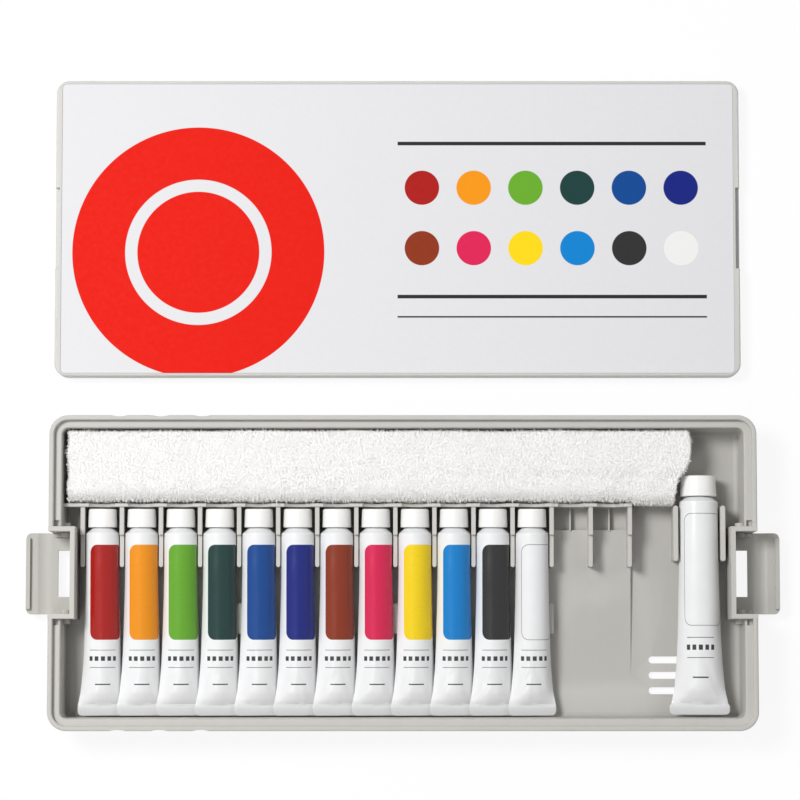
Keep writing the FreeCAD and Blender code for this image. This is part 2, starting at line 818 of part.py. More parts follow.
def tray():
    """The tray moulding with everything that is moulded into it."""
    shell = fuse(
        "tray_outside",
        [
            slab(
                "tray_wall_form",
                "wall_length",
                "wall_width",
                "wall_corner",
                "0",
                "ledge_z",
                draft="wall_draft",
                rounds=(("bottom", "base_round"),),
            ),
            slab(
                "tray_rim_form",
                "outer_length",
                "outer_width",
                "outer_corner",
                "ledge_z - rim_depth",
                "rim_z",
                rounds=(("top", "lip_round"), ("bottom", "lip_round")),
            ),
        ],
    )
    inside = [
        slab(
            "tray_inside",
            "inner_length",
            "inner_width",
            "inner_corner",
            "floor_thickness",
            "ledge_z",
            draft="wall_draft",
            rounds=(("bottom", "floor_round"),),
        ),
        slab(
            "tray_recess",
            "recess_length",
            "recess_width",
            "recess_corner",
            "ledge_z",
            "rim_z + root_depth",
        ),
        slab(
            "lip_flare",
            "flare_length",
            "flare_breadth",
            "flare_corner",
            "rim_z - lip_bevel",
            "rim_z + root_depth",
            draft="bevel_angle",
        ),
        slab(
            "ledge_flare",
            "mouth_length",
            "mouth_breadth",
            "mouth_corner",
            "ledge_z - lip_bevel",
            "ledge_z + root_depth",
            draft="bevel_angle",
        ),
    ]
    blocks, cuts, stops = latch_bays()
    fittings = blocks + tube_rack() + large_tube_ribs()
    filled = fuse("tray_filled", [cut("tray_shell", shell, inside)] + fittings)
    opened = cut("tray_opened", filled, cuts + drain_slots() + lip_reliefs())
    return fuse("tray", [opened] + stops)


def latch():
    """The right-hand latch, folded out flat: a flap with a hook, two legs, ears and trunnions."""
    pieces = [
        slab(
            "latch_flap",
            "flap_length",
            "flap_width",
            "latch_corner",
            "latch_bottom",
            "latch_top",
            x="flap_middle",
            rounds=(("bottom", "latch_round"),),
        )
    ]
    leg_end = "pivot_x + latch_gap_end + latch_corner"
    hook_y = "latch_half - latch_corner"
    pieces.append(
        box(
            "latch_hook",
            ("pivot_x + latch_reach - hook_thickness", f"0 - ({hook_y})", "latch_bottom"),
            ("pivot_x + latch_reach", hook_y, "latch_top + hook_rise"),
        )
    )
    for end in ENDS:
        low, high = end_span(end, "latch_gap_width / 2", "latch_half")
        heel = "pivot_x - latch_heel"
        pieces.append(box(f"latch_leg_{end}", (heel, low, "latch_bottom"), (leg_end, high, "latch_top")))
        low, high = end_span(end, "latch_half - ear_thickness", "latch_half")
        pieces.append(
            box(
                f"latch_ear_{end}",
                ("pivot_x - ear_radius", low, "latch_bottom"),
                ("pivot_x + ear_radius", high, "pivot_height"),
            )
        )
        tail_top = "latch_top + ear_tail_height"
        pieces.append(
            box(
                f"latch_ear_tail_{end}",
                ("pivot_x", low, "latch_bottom"),
                ("pivot_x + ear_tail", high, tail_top),
            )
        )
        name = f"latch_knuckle_{end}"
        pieces.append(crosswise(name, "pivot_x", low, high, "pivot_height", "ear_radius"))
        low, high = end_span(end, "latch_half - ear_thickness", "latch_half + trunnion_length")
        name = f"latch_trunnion_{end}"
        pieces.append(crosswise(name, "pivot_x", low, high, "pivot_height", "trunnion_radius"))
    grip = crosswise(
        "latch_grip",
        "pivot_x + grip_reach",
        "0 - latch_half - root_depth",
        "latch_half + root_depth",
        "latch_top + grip_radius - grip_depth",
        "grip_radius",
    )
    return cut("latch_right", fuse("latch_solid", pieces), [grip])


def turned_latch(form):
    """The same latch at the other end."""
    link = doc.addObject("App::Link", "latch_left")
    link.LinkedObject = form
    half_turn = FreeCAD.Rotation(FreeCAD.Vector(0, 0, 1), 180)
    link.Placement = FreeCAD.Placement(FreeCAD.Vector(), half_turn)
    return link


def lid_shell():
    """A shallow lid with a skirt, notched over the latch bays, with a shelf for each hook."""
    plain = cut(
        "lid_plain",
        slab(
            "lid_outside",
            "lid_length",
            "lid_width",
            "lid_corner",
            "0",
            "lid_height",
            rounds=(("top", "lid_round"),),
        ),
        [
            slab(
                "lid_inside",
                "lid_inner_length",
                "lid_inner_width",
                "lid_inner_corner",
                "0 - root_depth",
                "lid_height - lid_top",
            )
        ],
    )
    catch_y = "latch_half + catch_gap"
    block_y = f"{catch_y} + catch_wall"
    notch_y = "bay_half + latch_bay_wall + catch_gap"
    notch_top = "lip_height + catch_gap"
    block_x = "lid_half - catch_depth - catch_wall"
    blocks = []
    cuts = [
        slab(
            "card_seat_form",
            "card_seat_length",
            "card_seat_width",
            "card_corner",
            "card_seat",
            "lid_height + root_depth",
        )
    ]
    for side in SIDES:
        blocks.append(
            end_box(
                f"catch_block_{side}",
                side,
                (block_x, f"0 - ({block_y})", notch_top),
                ("lid_half - lid_wall / 2", block_y, "lid_height - lid_top / 2"),
            )
        )
        cuts.append(
            end_box(
                f"catch_cut_{side}",
                side,
                ("lid_half - catch_depth", f"0 - ({catch_y})", "catch_shelf"),
                ("lid_half + root_depth", catch_y, "lid_height + root_depth"),
            )
        )
        cuts.append(
            end_box(
                f"skirt_notch_{side}",
                side,
                (block_x + " - root_depth", f"0 - ({notch_y})", "0 - root_depth"),
                ("lid_half + root_depth", notch_y, notch_top),
            )
        )
    shell = cut("lid_shell", fuse("lid_blocked", [plain] + blocks), cuts)
    place(shell, "lid_shift", "lid_y")
    return shell


def lid_card():
    """The printed face, let into the top of the lid."""
    return slab(
        "lid_card",
        "card_length",
        "card_width",
        "card_corner",
        "card_seat",
        "lid_height",
        x="lid_shift",
        y="lid_y",
    )


def towel():
    """The folded towel: a soft-edged pack with a narrower end beside the large cap."""
    edges = (("bottom", "towel_edge_round"), ("top", "towel_edge_round"))
    main = slab(
        "towel_pack",
        "towel_length",
        "towel_width",
        "towel_round",
        "towel_bottom",
        "towel_top",
        x="towel_left + towel_length / 2",
        y="towel_back - towel_width / 2",
        rounds=edges,
    )
    end = slab(
        "towel_end",
        "towel_end_length",
        "towel_end_width",
        "towel_edge_round",
        "towel_bottom",
        "towel_top",
        x="towel_right + towel_end_reach - towel_end_length / 2",
        y="towel_back - towel_end_width / 2",
        rounds=edges,
    )
    return fuse("towel", [main, end])


def tubes():
    """Sleeve, cap and filling of every tube, copied from one set of each kind."""
    pieces = []
    makers = (("tube", tube_sleeve), ("cap", tube_cap), ("paint", tube_paint))
    for kind in KINDS:
        for label, maker in makers:
            form = maker(kind)
            roll(form, kind)
            if kind == "large":
                name = f"{label}_large_white"
                where = ("large_x", "large_shoulder_y", "large_shoulder_z")
                pieces.append(laid_down(name, form, *where, "0"))
                continue
            for index, colour in enumerate(SMALL_TUBES):
                x = f"first_bay_x + {index} * bay_pitch"
                name = f"{label}_{colour}"
                pieces.append(laid_down(name, form, x, "shoulder_y", "shoulder_z", "tube_tilt"))
    return pieces


right_latch = latch()
sub_parts = [tray(), right_latch, turned_latch(right_latch), lid_shell(), lid_card(), towel()]
sub_parts += tubes()
doc.recompute()

for thing in doc.Objects:
    if "Invalid" in thing.State or "Error" in thing.State:
        raise RuntimeError(f"{thing.Name} failed: {thing.State}")
for piece in sub_parts:
    shape = Part.getShape(piece)
    if shape.isNull() or not shape.isValid():
        raise RuntimeError(f"{piece.Label} has no valid shape")
    if len(shape.Solids) != 1:
        raise RuntimeError(f"{piece.Label} has {len(shape.Solids)} solids")
    shape.exportStep(f"parts/{piece.Label}.step")
print(f"{len(sub_parts)} sub-parts")
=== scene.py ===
import json
import math
import random

import bpy
from mathutils import Matrix, Vector, noise


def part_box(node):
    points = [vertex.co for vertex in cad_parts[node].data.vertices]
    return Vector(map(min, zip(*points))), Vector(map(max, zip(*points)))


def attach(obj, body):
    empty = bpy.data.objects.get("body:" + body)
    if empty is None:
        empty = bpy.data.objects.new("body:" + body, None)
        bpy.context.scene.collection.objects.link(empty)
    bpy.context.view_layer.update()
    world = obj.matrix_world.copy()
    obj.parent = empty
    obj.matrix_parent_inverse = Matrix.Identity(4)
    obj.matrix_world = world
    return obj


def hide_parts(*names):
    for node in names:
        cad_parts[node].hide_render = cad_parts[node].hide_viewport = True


# The looks of an open paint box: moulded tray with latches, lid with a printed card,
# folded terry towel, lacquered metal paint tubes with screw caps.

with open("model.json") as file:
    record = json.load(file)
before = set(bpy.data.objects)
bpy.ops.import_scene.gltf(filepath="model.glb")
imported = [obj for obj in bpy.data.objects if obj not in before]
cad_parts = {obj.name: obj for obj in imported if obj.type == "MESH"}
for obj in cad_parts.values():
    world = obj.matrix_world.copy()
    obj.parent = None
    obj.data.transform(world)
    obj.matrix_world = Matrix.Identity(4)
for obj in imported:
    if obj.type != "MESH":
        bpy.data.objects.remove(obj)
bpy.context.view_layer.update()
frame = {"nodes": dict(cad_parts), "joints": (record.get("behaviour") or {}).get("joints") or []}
scene = bpy.context.scene
TOWEL_LOW, TOWEL_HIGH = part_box("towel")
MM = 0.001

# Camera: nearly straight down, from a little in front of the tray
IMAGE_WIDTH = 0.3905
AIM = Vector((-0.0014, 0.0845, 0.015))
CAMERA_DISTANCE = 1.6
CAMERA_TILT = math.radians(5.0)
SENSOR = 36.0
CLIP_END = 20.0

# Light: an even sky, a key lamp behind on the left and a weak fill on the right
WORLD_STRENGTH = 0.22
KEY_PLACE = Vector((-0.70, 0.42, 1.34))
KEY_SIZE = 0.5
KEY_POWER = 18.5
FILL_PLACE = Vector((0.95, 0.55, 0.95))
FILL_SIZE = 0.8
FILL_POWER = 2.6
# A narrow strip on the left, in front, whose reflection runs down the flattened ends of the tubes
STRIP_PLACE = Vector((-0.42, -0.55, 1.15))
STRIP_SIZE = (0.20, 0.80)
STRIP_POWER = 2.5

# Colours, linear
TRAY_GREY = (0.540, 0.528, 0.498)
# Painted shade: the latches are a darker copy of the tray's grey
LATCH_SHADED_GREY = (0.445, 0.435, 0.405)
LID_GREY = (0.600, 0.590, 0.570)
LACQUER = (0.835, 0.838, 0.846)
CAP_WHITE = (0.905, 0.900, 0.880)
COTTON = (0.955, 0.950, 0.940)
CARD_GREY = (0.745, 0.745, 0.762)
PRINT_RED = (0.768, 0.0103, 0.0030)
INK = (0.020, 0.020, 0.022)
PAINTS = {
    "carmine": (0.405, 0.0115, 0.0085),
    "deep_yellow": (0.895, 0.305, 0.0070),
    "light_green": (0.138, 0.402, 0.0262),
    "viridian": (0.0098, 0.0460, 0.0420),
    "ultramarine": (0.0040, 0.0648, 0.283),
    "violet": (0.0070, 0.0168, 0.205),
    "burnt_sienna": (0.263, 0.0343, 0.0097),
    "magenta": (0.716, 0.0168, 0.0908),
    "yellow": (0.956, 0.680, 0.0070),
    "cyan": (0.0030, 0.223, 0.617),
    "black": (0.0262, 0.0262, 0.0262),
    "white": (0.860, 0.858, 0.840),
}
LARGE = "large_white"

# Sleeves and caps of the two kinds of tube, in metres
SMALL_TUBE = {
    "radius": 8.0 * MM,
    "length": 88.0 * MM,
    "shoulder": 3.0 * MM,
    "shoulder_top": 5.0 * MM,
    "shoulder_lift": 0.7 * MM,
    "neck": 4.0 * MM,
    "bore": 2.0 * MM,
    "neck_length": 7.0 * MM,
    "crimp_half": 11.8 * MM,
    "roll": math.radians(8.0),
    "cap_base": 7.0 * MM,
    "cap_top": 6.75 * MM,
    "cap_length": 9.0 * MM,
}
LARGE_TUBE = {
    "radius": 9.5 * MM,
    "length": 102.4 * MM,
    "shoulder": 3.2 * MM,
    "shoulder_top": 6.4 * MM,
    "shoulder_lift": 1.2 * MM,
    "neck": 5.0 * MM,
    "bore": 2.5 * MM,
    "neck_length": 8.0 * MM,
    "crimp_half": 14.7 * MM,
    "roll": 0.0,
    "cap_base": 8.9 * MM,
    "cap_top": 8.3 * MM,
    "cap_length": 10.0 * MM,
}
CRIMP_LENGTH = 5.5 * MM
CRIMP_CORNER = 2.3 * MM
CAP_GAP = 0.4 * MM
CAP_WALL_GAP = 0.3 * MM
CAP_END = 1.5 * MM
CAP_ROUND = 0.8 * MM
# Cross-sections of a sleeve: place along it, half-width and half-height against its radius
STATIONS = (
    (0.0, 1.0, 1.0),
    (0.25, 1.01, 0.995),
    (0.50, 1.07, 0.95),
    (0.74, 1.15, 0.87),
    (0.92, 1.29, 0.62),
    (0.975, 1.40, 0.32),
    (1.0, 1.45, 0.12),
)


# Materials


def feed(tree, socket, value):
    """Links a socket to another one, or sets it."""
    if isinstance(value, bpy.types.NodeSocket):
        tree.links.new(value, socket)
    else:
        socket.default_value = value


def add(tree, kind, inputs=None, **settings):
    made = tree.nodes.new("ShaderNode" + kind)
    for key, value in settings.items():
        setattr(made, key, value)
    for key, value in (inputs or {}).items():
        feed(tree, made.inputs[key], value)
    return made


def maths(tree, operation, *values):
    made = tree.nodes.new("ShaderNodeMath")
    made.operation = operation
    for socket, value in zip(made.inputs, values):
        feed(tree, socket, value)
    return made.outputs[0]


def blend_colour(tree, factor, first, second):
    made = tree.nodes.new("ShaderNodeMix")
    made.data_type = "RGBA"
    for index, value in ((0, factor), (6, first), (7, second)):
        if isinstance(value, tuple):
            value = (*value, 1.0)
        feed(tree, made.inputs[index], value)
    return made.outputs[2]


def ramp(tree, value, low, high, start, end):
    """Maps a value from low..high to start..end, held at both ends."""
    limits = {"From Min": low, "From Max": high, "To Min": start, "To Max": end}
    return add(tree, "MapRange", {"Value": value, **limits}).outputs["Result"]


# Most values of a noise lie in this range
NOISE_RANGE = (0.3, 0.7)


def mottle(tree, coordinates, scale, detail=3.0):
    made = add(tree, "TexNoise", {"Vector": coordinates, "Scale": scale, "Detail": detail})
    return made.outputs["Fac"]


def new_material(name, **constants):
    material = bpy.data.materials.new(name)
    material.use_nodes = True
    tree = material.node_tree
    tree.nodes.clear()
    surface = add(tree, "BsdfPrincipled")
    output = add(tree, "OutputMaterial")
    tree.links.new(surface.outputs["BSDF"], output.inputs["Surface"])
    for key, value in constants.items():
        surface.inputs[key.replace("_", " ")].default_value = value
    return material, tree, surface


def shade(colour, factor):
    return tuple(channel * factor for channel in colour)


def varied(tree, factor, colour, darkest, lightest):
    """A colour that goes from a darker to a lighter shade of itself."""
    return blend_colour(tree, factor, shade(colour, darkest), shade(colour, lightest))


def emboss(tree, surface, height, strength, depth, normal=None):
    """Gives a surface a fine relief, with its depth in metres."""
    inputs = {"Strength": strength, "Distance": depth, "Height": height}
    if normal is not None:
        inputs["Normal"] = normal
    feed(tree, surface.inputs["Normal"], add(tree, "Bump", inputs).outputs["Normal"])


EDGE_ROUND = 0.35 * MM
DARKEST = 0.94
LIGHTEST = 1.05
# Paler convex edges: partly wear, partly painted highlight
RUBBED_HIGHLIT = 1.18
RUBBED_HIGHLIT_MOST = 0.35
RUBBED_HIGHLIT_EDGES = (0.52, 0.62)
CLOUD_SCALE = 35.0
GRAIN_SCALE = 2600.0
FLOW_STRETCH = (240.0, 9.0, 9.0)
FLOW_SHARE = 0.4
# Painted shade: the low part of the tray is darker, up to an uneven line
LOW_SHADE = 0.86
LOW_SHADE_LINE = (3.5 * MM, 7.0 * MM)
LOW_SHADE_STRAY = 1.5 * MM


def moulded_plastic(name, colour, painted_low_shade):
    """Satin moulded plastic: fine grain, faint flow streaks, paler edges that are partly wear and partly
    painted highlight, and painted shade on its low part if asked for.
    """
    material, tree, surface = new_material(name, Specular_IOR_Level=0.28)
    place = add(tree, "TexCoord").outputs["Object"]
    cloud = mottle(tree, place, CLOUD_SCALE)
    grain = mottle(tree, place, GRAIN_SCALE, 2.0)
    stretched = add(tree, "VectorMath", {0: place, 1: FLOW_STRETCH}, operation="MULTIPLY")
    streaks = mottle(tree, stretched.outputs["Vector"], 1.0, 2.0)
    calm = maths(tree, "MULTIPLY", cloud, 1 - FLOW_SHARE)
    tone = maths(tree, "ADD", calm, maths(tree, "MULTIPLY", streaks, FLOW_SHARE))
    base = varied(tree, tone, colour, DARKEST, LIGHTEST)
    # Convex edges turn paler: partly wear, partly painted highlight
    edges = add(tree, "NewGeometry").outputs["Pointiness"]
    rubbed_highlit = ramp(tree, edges, *RUBBED_HIGHLIT_EDGES, 0.0, RUBBED_HIGHLIT_MOST)
    # Painted shade: below an uneven height the colour turns to a darker copy of itself
    if painted_low_shade:
        height = add(tree, "SeparateXYZ", {"Vector": place}).outputs["Z"]
        stray = ramp(tree, cloud, *NOISE_RANGE, -LOW_SHADE_STRAY, LOW_SHADE_STRAY)
        low_shade_share = ramp(tree, maths(tree, "ADD", height, stray), *LOW_SHADE_LINE, 1.0, 0.0)
        low_shaded = varied(tree, tone, shade(colour, LOW_SHADE), DARKEST, LIGHTEST)
        base = blend_colour(tree, low_shade_share, base, low_shaded)
    feed(tree, surface.inputs["Base Color"], blend_colour(tree, rubbed_highlit, base, shade(colour, RUBBED_HIGHLIT)))
    feed(tree, surface.inputs["Roughness"], ramp(tree, cloud, *NOISE_RANGE, 0.43, 0.54))
    soft = add(tree, "Bevel", {"Radius": EDGE_ROUND}, samples=6)
    emboss(tree, surface, grain, 0.16, 0.06 * MM, soft.outputs[0])
    return material


def cap_plastic():
    """White polyethylene: slightly waxy, with a faint grain."""
    material, tree, surface = new_material("cap_plastic", Specular_IOR_Level=0.4, Subsurface_Weight=0.06)
    surface.inputs["Subsurface Radius"].default_value = (0.0012, 0.0011, 0.0009)
    place = add(tree, "TexCoord").outputs["Object"]
    cloud = mottle(tree, place, 90.0)
    feed(tree, surface.inputs["Base Color"], varied(tree, cloud, CAP_WHITE, 0.975, 1.02))
    feed(tree, surface.inputs["Roughness"], ramp(tree, cloud, *NOISE_RANGE, 0.34, 0.46))
    emboss(tree, surface, mottle(tree, place, 1500.0, 2.0), 0.1, 0.04 * MM)
    return material


def between(tree, value, low, high, soft):
    """1 inside low..high, 0 outside, with soft edges."""
    rise = ramp(tree, value, low - soft, low + soft, 0.0, 1.0)
    fall = ramp(tree, value, high - soft, high + soft, 1.0, 0.0)
    return maths(tree, "MULTIPLY", rise, fall)


def rounded_panel(tree, across, along, half, start, end, corner):
    """Signed distance to a panel with round corners, in metres; negative inside."""
    middle = (start + end) / 2
    dx = maths(tree, "SUBTRACT", maths(tree, "ABSOLUTE", across), half - corner)
    offset = maths(tree, "ABSOLUTE", maths(tree, "SUBTRACT", along, middle))
    dy = maths(tree, "SUBTRACT", offset, (end - start) / 2 - corner)
    outside_x = maths(tree, "MAXIMUM", dx, 0.0)
    outside_y = maths(tree, "MAXIMUM", dy, 0.0)
    square = maths(tree, "ADD", maths(tree, "POWER", outside_x, 2.0), maths(tree, "POWER", outside_y, 2.0))
    inside = maths(tree, "MINIMUM", maths(tree, "MAXIMUM", dx, dy), 0.0)
    return maths(tree, "SUBTRACT", maths(tree, "ADD", maths(tree, "SQRT", square), inside), corner)


PANEL_START = 5.0 * MM
PANEL_END = 51.0 * MM
PANEL_HALF = 9.6 * MM
PANEL_SHIFT = 2.6 * MM
PANEL_CORNER = 4.0 * MM
PANEL_LINE = 0.16 * MM
PRINT_SOFT = 0.06 * MM
SQUARE_ROW = (59.0 * MM, 61.2 * MM)
SQUARE_PITCH = 3.2 * MM
SQUARE_SIZE = 0.62
SQUARE_COUNT = 5
INK_DARKEST = 0.85
INK_LIGHTEST = 0.95
LINE_GREY = (0.25, 0.25, 0.26)
MARK_GREY = (0.045, 0.045, 0.048)
# Painted shade: the enamel is darker over the folded end, which has fine lines pressed into it
FOLD_SHADE_LENGTH = 3.5 * MM
FOLD_SHADE = 0.74
PRESS_PITCH = 0.9 * MM
PRESS_DEPTH = 1.4
# Rules across the label: place along it, half-thickness and half-length
RULES = (
    (56.0 * MM, 0.14 * MM, 7.2 * MM),
    (64.4 * MM, 0.14 * MM, 7.2 * MM),
    (72.6 * MM, 0.30 * MM, 4.0 * MM),
)


def label_lacquer(name, paint, stretch, fold):
    """White enamelled metal with a printed panel, rules and squares, and painted shade over the fold of its
    end.
    """
    material, tree, surface = new_material(name, Specular_IOR_Level=0.32)
    rest = add(tree, "Attribute", attribute_name="rest").outputs["Vector"]
    parts = add(tree, "SeparateXYZ", {"Vector": rest})
    across = parts.outputs["X"]
    along = parts.outputs["Y"]
    height = parts.outputs["Z"]
    angle = maths(tree, "ARCTAN2", across, height)
    square = maths(tree, "ADD", maths(tree, "POWER", across, 2.0), maths(tree, "POWER", height, 2.0))
    wrap = maths(tree, "MULTIPLY", angle, maths(tree, "SQRT", square))
    upper = ramp(tree, height, -0.5 * MM, 0.5 * MM, 0.0, 1.0)

    cloud = mottle(tree, rest, 120.0)
    ground = varied(tree, cloud, LACQUER, 0.97, 1.02)
    # Painted shade: the enamel darkens over the fold
    fold_shade = ramp(tree, along, fold - FOLD_SHADE_LENGTH, fold + FOLD_SHADE_LENGTH, 0.0, 1.0)
    ground = blend_colour(tree, fold_shade, ground, shade(LACQUER, FOLD_SHADE))
    shifted = maths(tree, "SUBTRACT", wrap, PANEL_SHIFT)
    panel = (PANEL_HALF * stretch, PANEL_START, PANEL_END * stretch, PANEL_CORNER)
    gap = rounded_panel(tree, shifted, along, *panel)
    if paint is None:
        inked = between(tree, gap, -PANEL_LINE, PANEL_LINE, PRINT_SOFT)
        printed = blend_colour(tree, inked, ground, LINE_GREY)
    else:
        inked = ramp(tree, gap, -PRINT_SOFT, PRINT_SOFT, 1.0, 0.0)
        screen = mottle(tree, rest, 900.0, 2.0)
        ink = varied(tree, screen, paint, INK_DARKEST, INK_LIGHTEST)
        printed = blend_colour(tree, inked, ground, ink)
    marks = 0.0
    for place, thickness, half in RULES:
        rule = between(tree, along, (place - thickness) * stretch, (place + thickness) * stretch, PRINT_SOFT)
        rule = maths(tree, "MULTIPLY", rule, between(tree, wrap, -half, half, PRINT_SOFT))
        marks = maths(tree, "MAXIMUM", marks, rule)
    column = maths(tree, "FRACT", maths(tree, "ADD", maths(tree, "DIVIDE", wrap, SQUARE_PITCH), 0.5))
    squares = between(tree, column, 0.5 - SQUARE_SIZE / 2, 0.5 + SQUARE_SIZE / 2, 0.03)
    row = between(tree, along, SQUARE_ROW[0] * stretch, SQUARE_ROW[1] * stretch, PRINT_SOFT)
    squares = maths(tree, "MULTIPLY", squares, row)
    reach = SQUARE_COUNT / 2 * SQUARE_PITCH
    squares = maths(tree, "MULTIPLY", squares, between(tree, wrap, -reach, reach, PRINT_SOFT))
    marks = maths(tree, "MULTIPLY", maths(tree, "MAXIMUM", marks, squares), upper)
    printed = blend_colour(tree, marks, printed, MARK_GREY)
    feed(tree, surface.inputs["Base Color"], printed)
    feed(tree, surface.inputs["Roughness"], ramp(tree, cloud, *NOISE_RANGE, 0.17, 0.25))
    peel = mottle(tree, rest, 500.0, 2.0)
    lines = maths(tree, "SINE", maths(tree, "MULTIPLY", across, 2 * math.pi / PRESS_PITCH))
    pressed = maths(tree, "MULTIPLY", lines, ramp(tree, along, fold, fold + MM, 0.0, PRESS_DEPTH))
    emboss(tree, surface, maths(tree, "ADD", peel, pressed), 0.12, 0.08 * MM)
    return material


def paint_paste(name, colour):
    """Thick matt paint with soft ridges."""
    material, tree, surface = new_material(name, Specular_IOR_Level=0.35)
    place = add(tree, "TexCoord").outputs["Object"]
    swirl = mottle(tree, place, 180.0, 5.0)
    feed(tree, surface.inputs["Base Color"], varied(tree, swirl, colour, 0.85, 1.08))
    feed(tree, surface.inputs["Roughness"], ramp(tree, swirl, *NOISE_RANGE, 0.55, 0.75))
    emboss(tree, surface, swirl, 0.4, 0.4 * MM)
    return material


def terry_ground():
    """The woven ground of the towel, between its loops."""
    constants = {"Roughness": 0.95, "Specular_IOR_Level": 0.1, "Sheen_Weight": 0.25}
    material, tree, surface = new_material("terry_ground", **constants)
    place = add(tree, "TexCoord").outputs["Object"]
    fluff = mottle(tree, place, 900.0, 4.0)
    feed(tree, surface.inputs["Base Color"], varied(tree, fluff, COTTON, 0.90, 1.03))
    emboss(tree, surface, fluff, 0.5, 0.4 * MM)
    return material


# Share of the light that shines through a loop
GLOW_SHARE = 0.42


def terry_pile():
    """Cotton loops, each a little lighter or darker than the next."""
    constants = {"Roughness": 0.95, "Specular_IOR_Level": 0.1, "Sheen_Weight": 0.2}
    material, tree, surface = new_material("terry_pile", **constants)
    chance = add(tree, "NewGeometry").outputs["Random Per Island"]
    place = add(tree, "TexCoord").outputs["Object"]
    twist = mottle(tree, place, 2400.0, 2.0)
    each = ramp(tree, chance, 0.0, 1.0, 0.4, 1.0)
    tone = maths(tree, "MULTIPLY", each, ramp(tree, twist, *NOISE_RANGE, 0.85, 1.0))
    cotton = varied(tree, tone, COTTON, 0.94, 1.03)
    feed(tree, surface.inputs["Base Color"], cotton)
    glow = add(tree, "BsdfTranslucent", {"Color": cotton})
    mixed = add(tree, "MixShader", {0: GLOW_SHARE, 1: surface.outputs["BSDF"], 2: glow.outputs["BSDF"]})
    output = tree.nodes["Material Output"]
    tree.links.new(mixed.outputs["Shader"], output.inputs["Surface"])
    return material


# The printed card: a large red disc with a ring, a chart of paint dots and three rules
DISC_PLACE = Vector((-0.098, -0.012))
DISC_RADIUS = 0.062
DISC_RING = (0.030, 0.036)
DOT_FIRST = Vector((0.012, 0.020))
DOT_PITCH = Vector((0.0255, -0.030))
DOT_RADIUS = 0.0085
DOT_COLUMNS = 6
RULE_SPAN = (0.000, 0.152)
RULE_PLACES = ((0.042, 0.0009), (-0.034, 0.0009), (-0.044, 0.0004))
CARD_SOFT = 0.00012


def printed_card():
    material, tree, surface = new_material("printed_card", Specular_IOR_Level=0.12)
    low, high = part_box("lid_card")
    middle = (low + high) / 2
    place = add(tree, "TexCoord").outputs["Object"]
    shifted = add(tree, "VectorMath", {0: place, 1: tuple(-middle)}, operation="ADD").outputs["Vector"]
    parts = add(tree, "SeparateXYZ", {"Vector": shifted})
    flat = add(tree, "CombineXYZ", {"X": parts.outputs["X"], "Y": parts.outputs["Y"]}).outputs["Vector"]

    def distance(point):
        made = add(tree, "VectorMath", {0: flat, 1: (point.x, point.y, 0.0)}, operation="DISTANCE")
        return made.outputs["Value"]

    fibre = mottle(tree, place, 420.0, 4.0)
    printed = varied(tree, fibre, CARD_GREY, 0.975, 1.02)
    reach = distance(DISC_PLACE)
    disc = ramp(tree, reach, DISC_RADIUS - CARD_SOFT, DISC_RADIUS + CARD_SOFT, 1.0, 0.0)
    ring = between(tree, reach, *DISC_RING, CARD_SOFT)
    disc = maths(tree, "MULTIPLY", disc, maths(tree, "SUBTRACT", 1.0, ring))
    screen = mottle(tree, place, 900.0, 2.0)
    red = varied(tree, screen, PRINT_RED, 0.95, 1.04)
    printed = blend_colour(tree, disc, printed, red)
    for index, paint in enumerate(PAINTS.values()):
        row, column = divmod(index, DOT_COLUMNS)
        centre = DOT_FIRST + Vector((column * DOT_PITCH.x, row * DOT_PITCH.y))
        dot = ramp(tree, distance(centre), DOT_RADIUS - CARD_SOFT, DOT_RADIUS + CARD_SOFT, 1.0, 0.0)
        printed = blend_colour(tree, dot, printed, paint)
    along = between(tree, parts.outputs["X"], *RULE_SPAN, CARD_SOFT)
    for y, half in RULE_PLACES:
        rule = between(tree, parts.outputs["Y"], y - half, y + half, CARD_SOFT)
        rule = maths(tree, "MULTIPLY", along, rule)
        printed = blend_colour(tree, rule, printed, INK)
    feed(tree, surface.inputs["Base Color"], printed)
    feed(tree, surface.inputs["Roughness"], ramp(tree, fibre, *NOISE_RANGE, 0.55, 0.70))
    emboss(tree, surface, fibre, 0.1, 0.05 * MM)
    return material


def dress(node, material):
    """Gives a CAD node one material."""
    slots = frame["nodes"][node].data.materials
    slots.clear()
    slots.append(material)


# Meshes


def new_object(name, vertices, faces, material, sharp=math.radians(40)):
    mesh = bpy.data.meshes.new(name)
    mesh.from_pydata(vertices, [], faces)
    mesh.validate()
    mesh.shade_smooth()
    mesh.set_sharp_from_angle(angle=sharp)
    mesh.materials.append(material)
    made = bpy.data.objects.new(name, mesh)
    scene.collection.objects.link(made)
    return made


def smooth_stations(share):
    """Half-width and half-height of a sleeve at a share of its length, smoothly between the stations."""
    for index in range(len(STATIONS) - 1):
        if share <= STATIONS[index + 1][0] or index == len(STATIONS) - 2:
            break
    before = STATIONS[max(index - 1, 0)]
    start = STATIONS[index]
    end = STATIONS[index + 1]
    after = STATIONS[min(index + 2, len(STATIONS) - 1)]
    span = end[0] - start[0]
    t = (share - start[0]) / span
    result = []
    for axis in (1, 2):
        slope_start = (end[axis] - before[axis]) / max(end[0] - before[0], 1e-6) * span
        slope_end = (after[axis] - start[axis]) / max(after[0] - start[0], 1e-6) * span
        rise = (2 * t**3 - 3 * t**2 + 1) * start[axis] + (t**3 - 2 * t**2 + t) * slope_start
        rise += (3 * t**2 - 2 * t**3) * end[axis] + (t**3 - t**2) * slope_end
        result.append(rise)
    return result


HALF_STEPS = 48
SLEEVE_RINGS = 64
SHOULDER_ROUND = 0.55 * MM
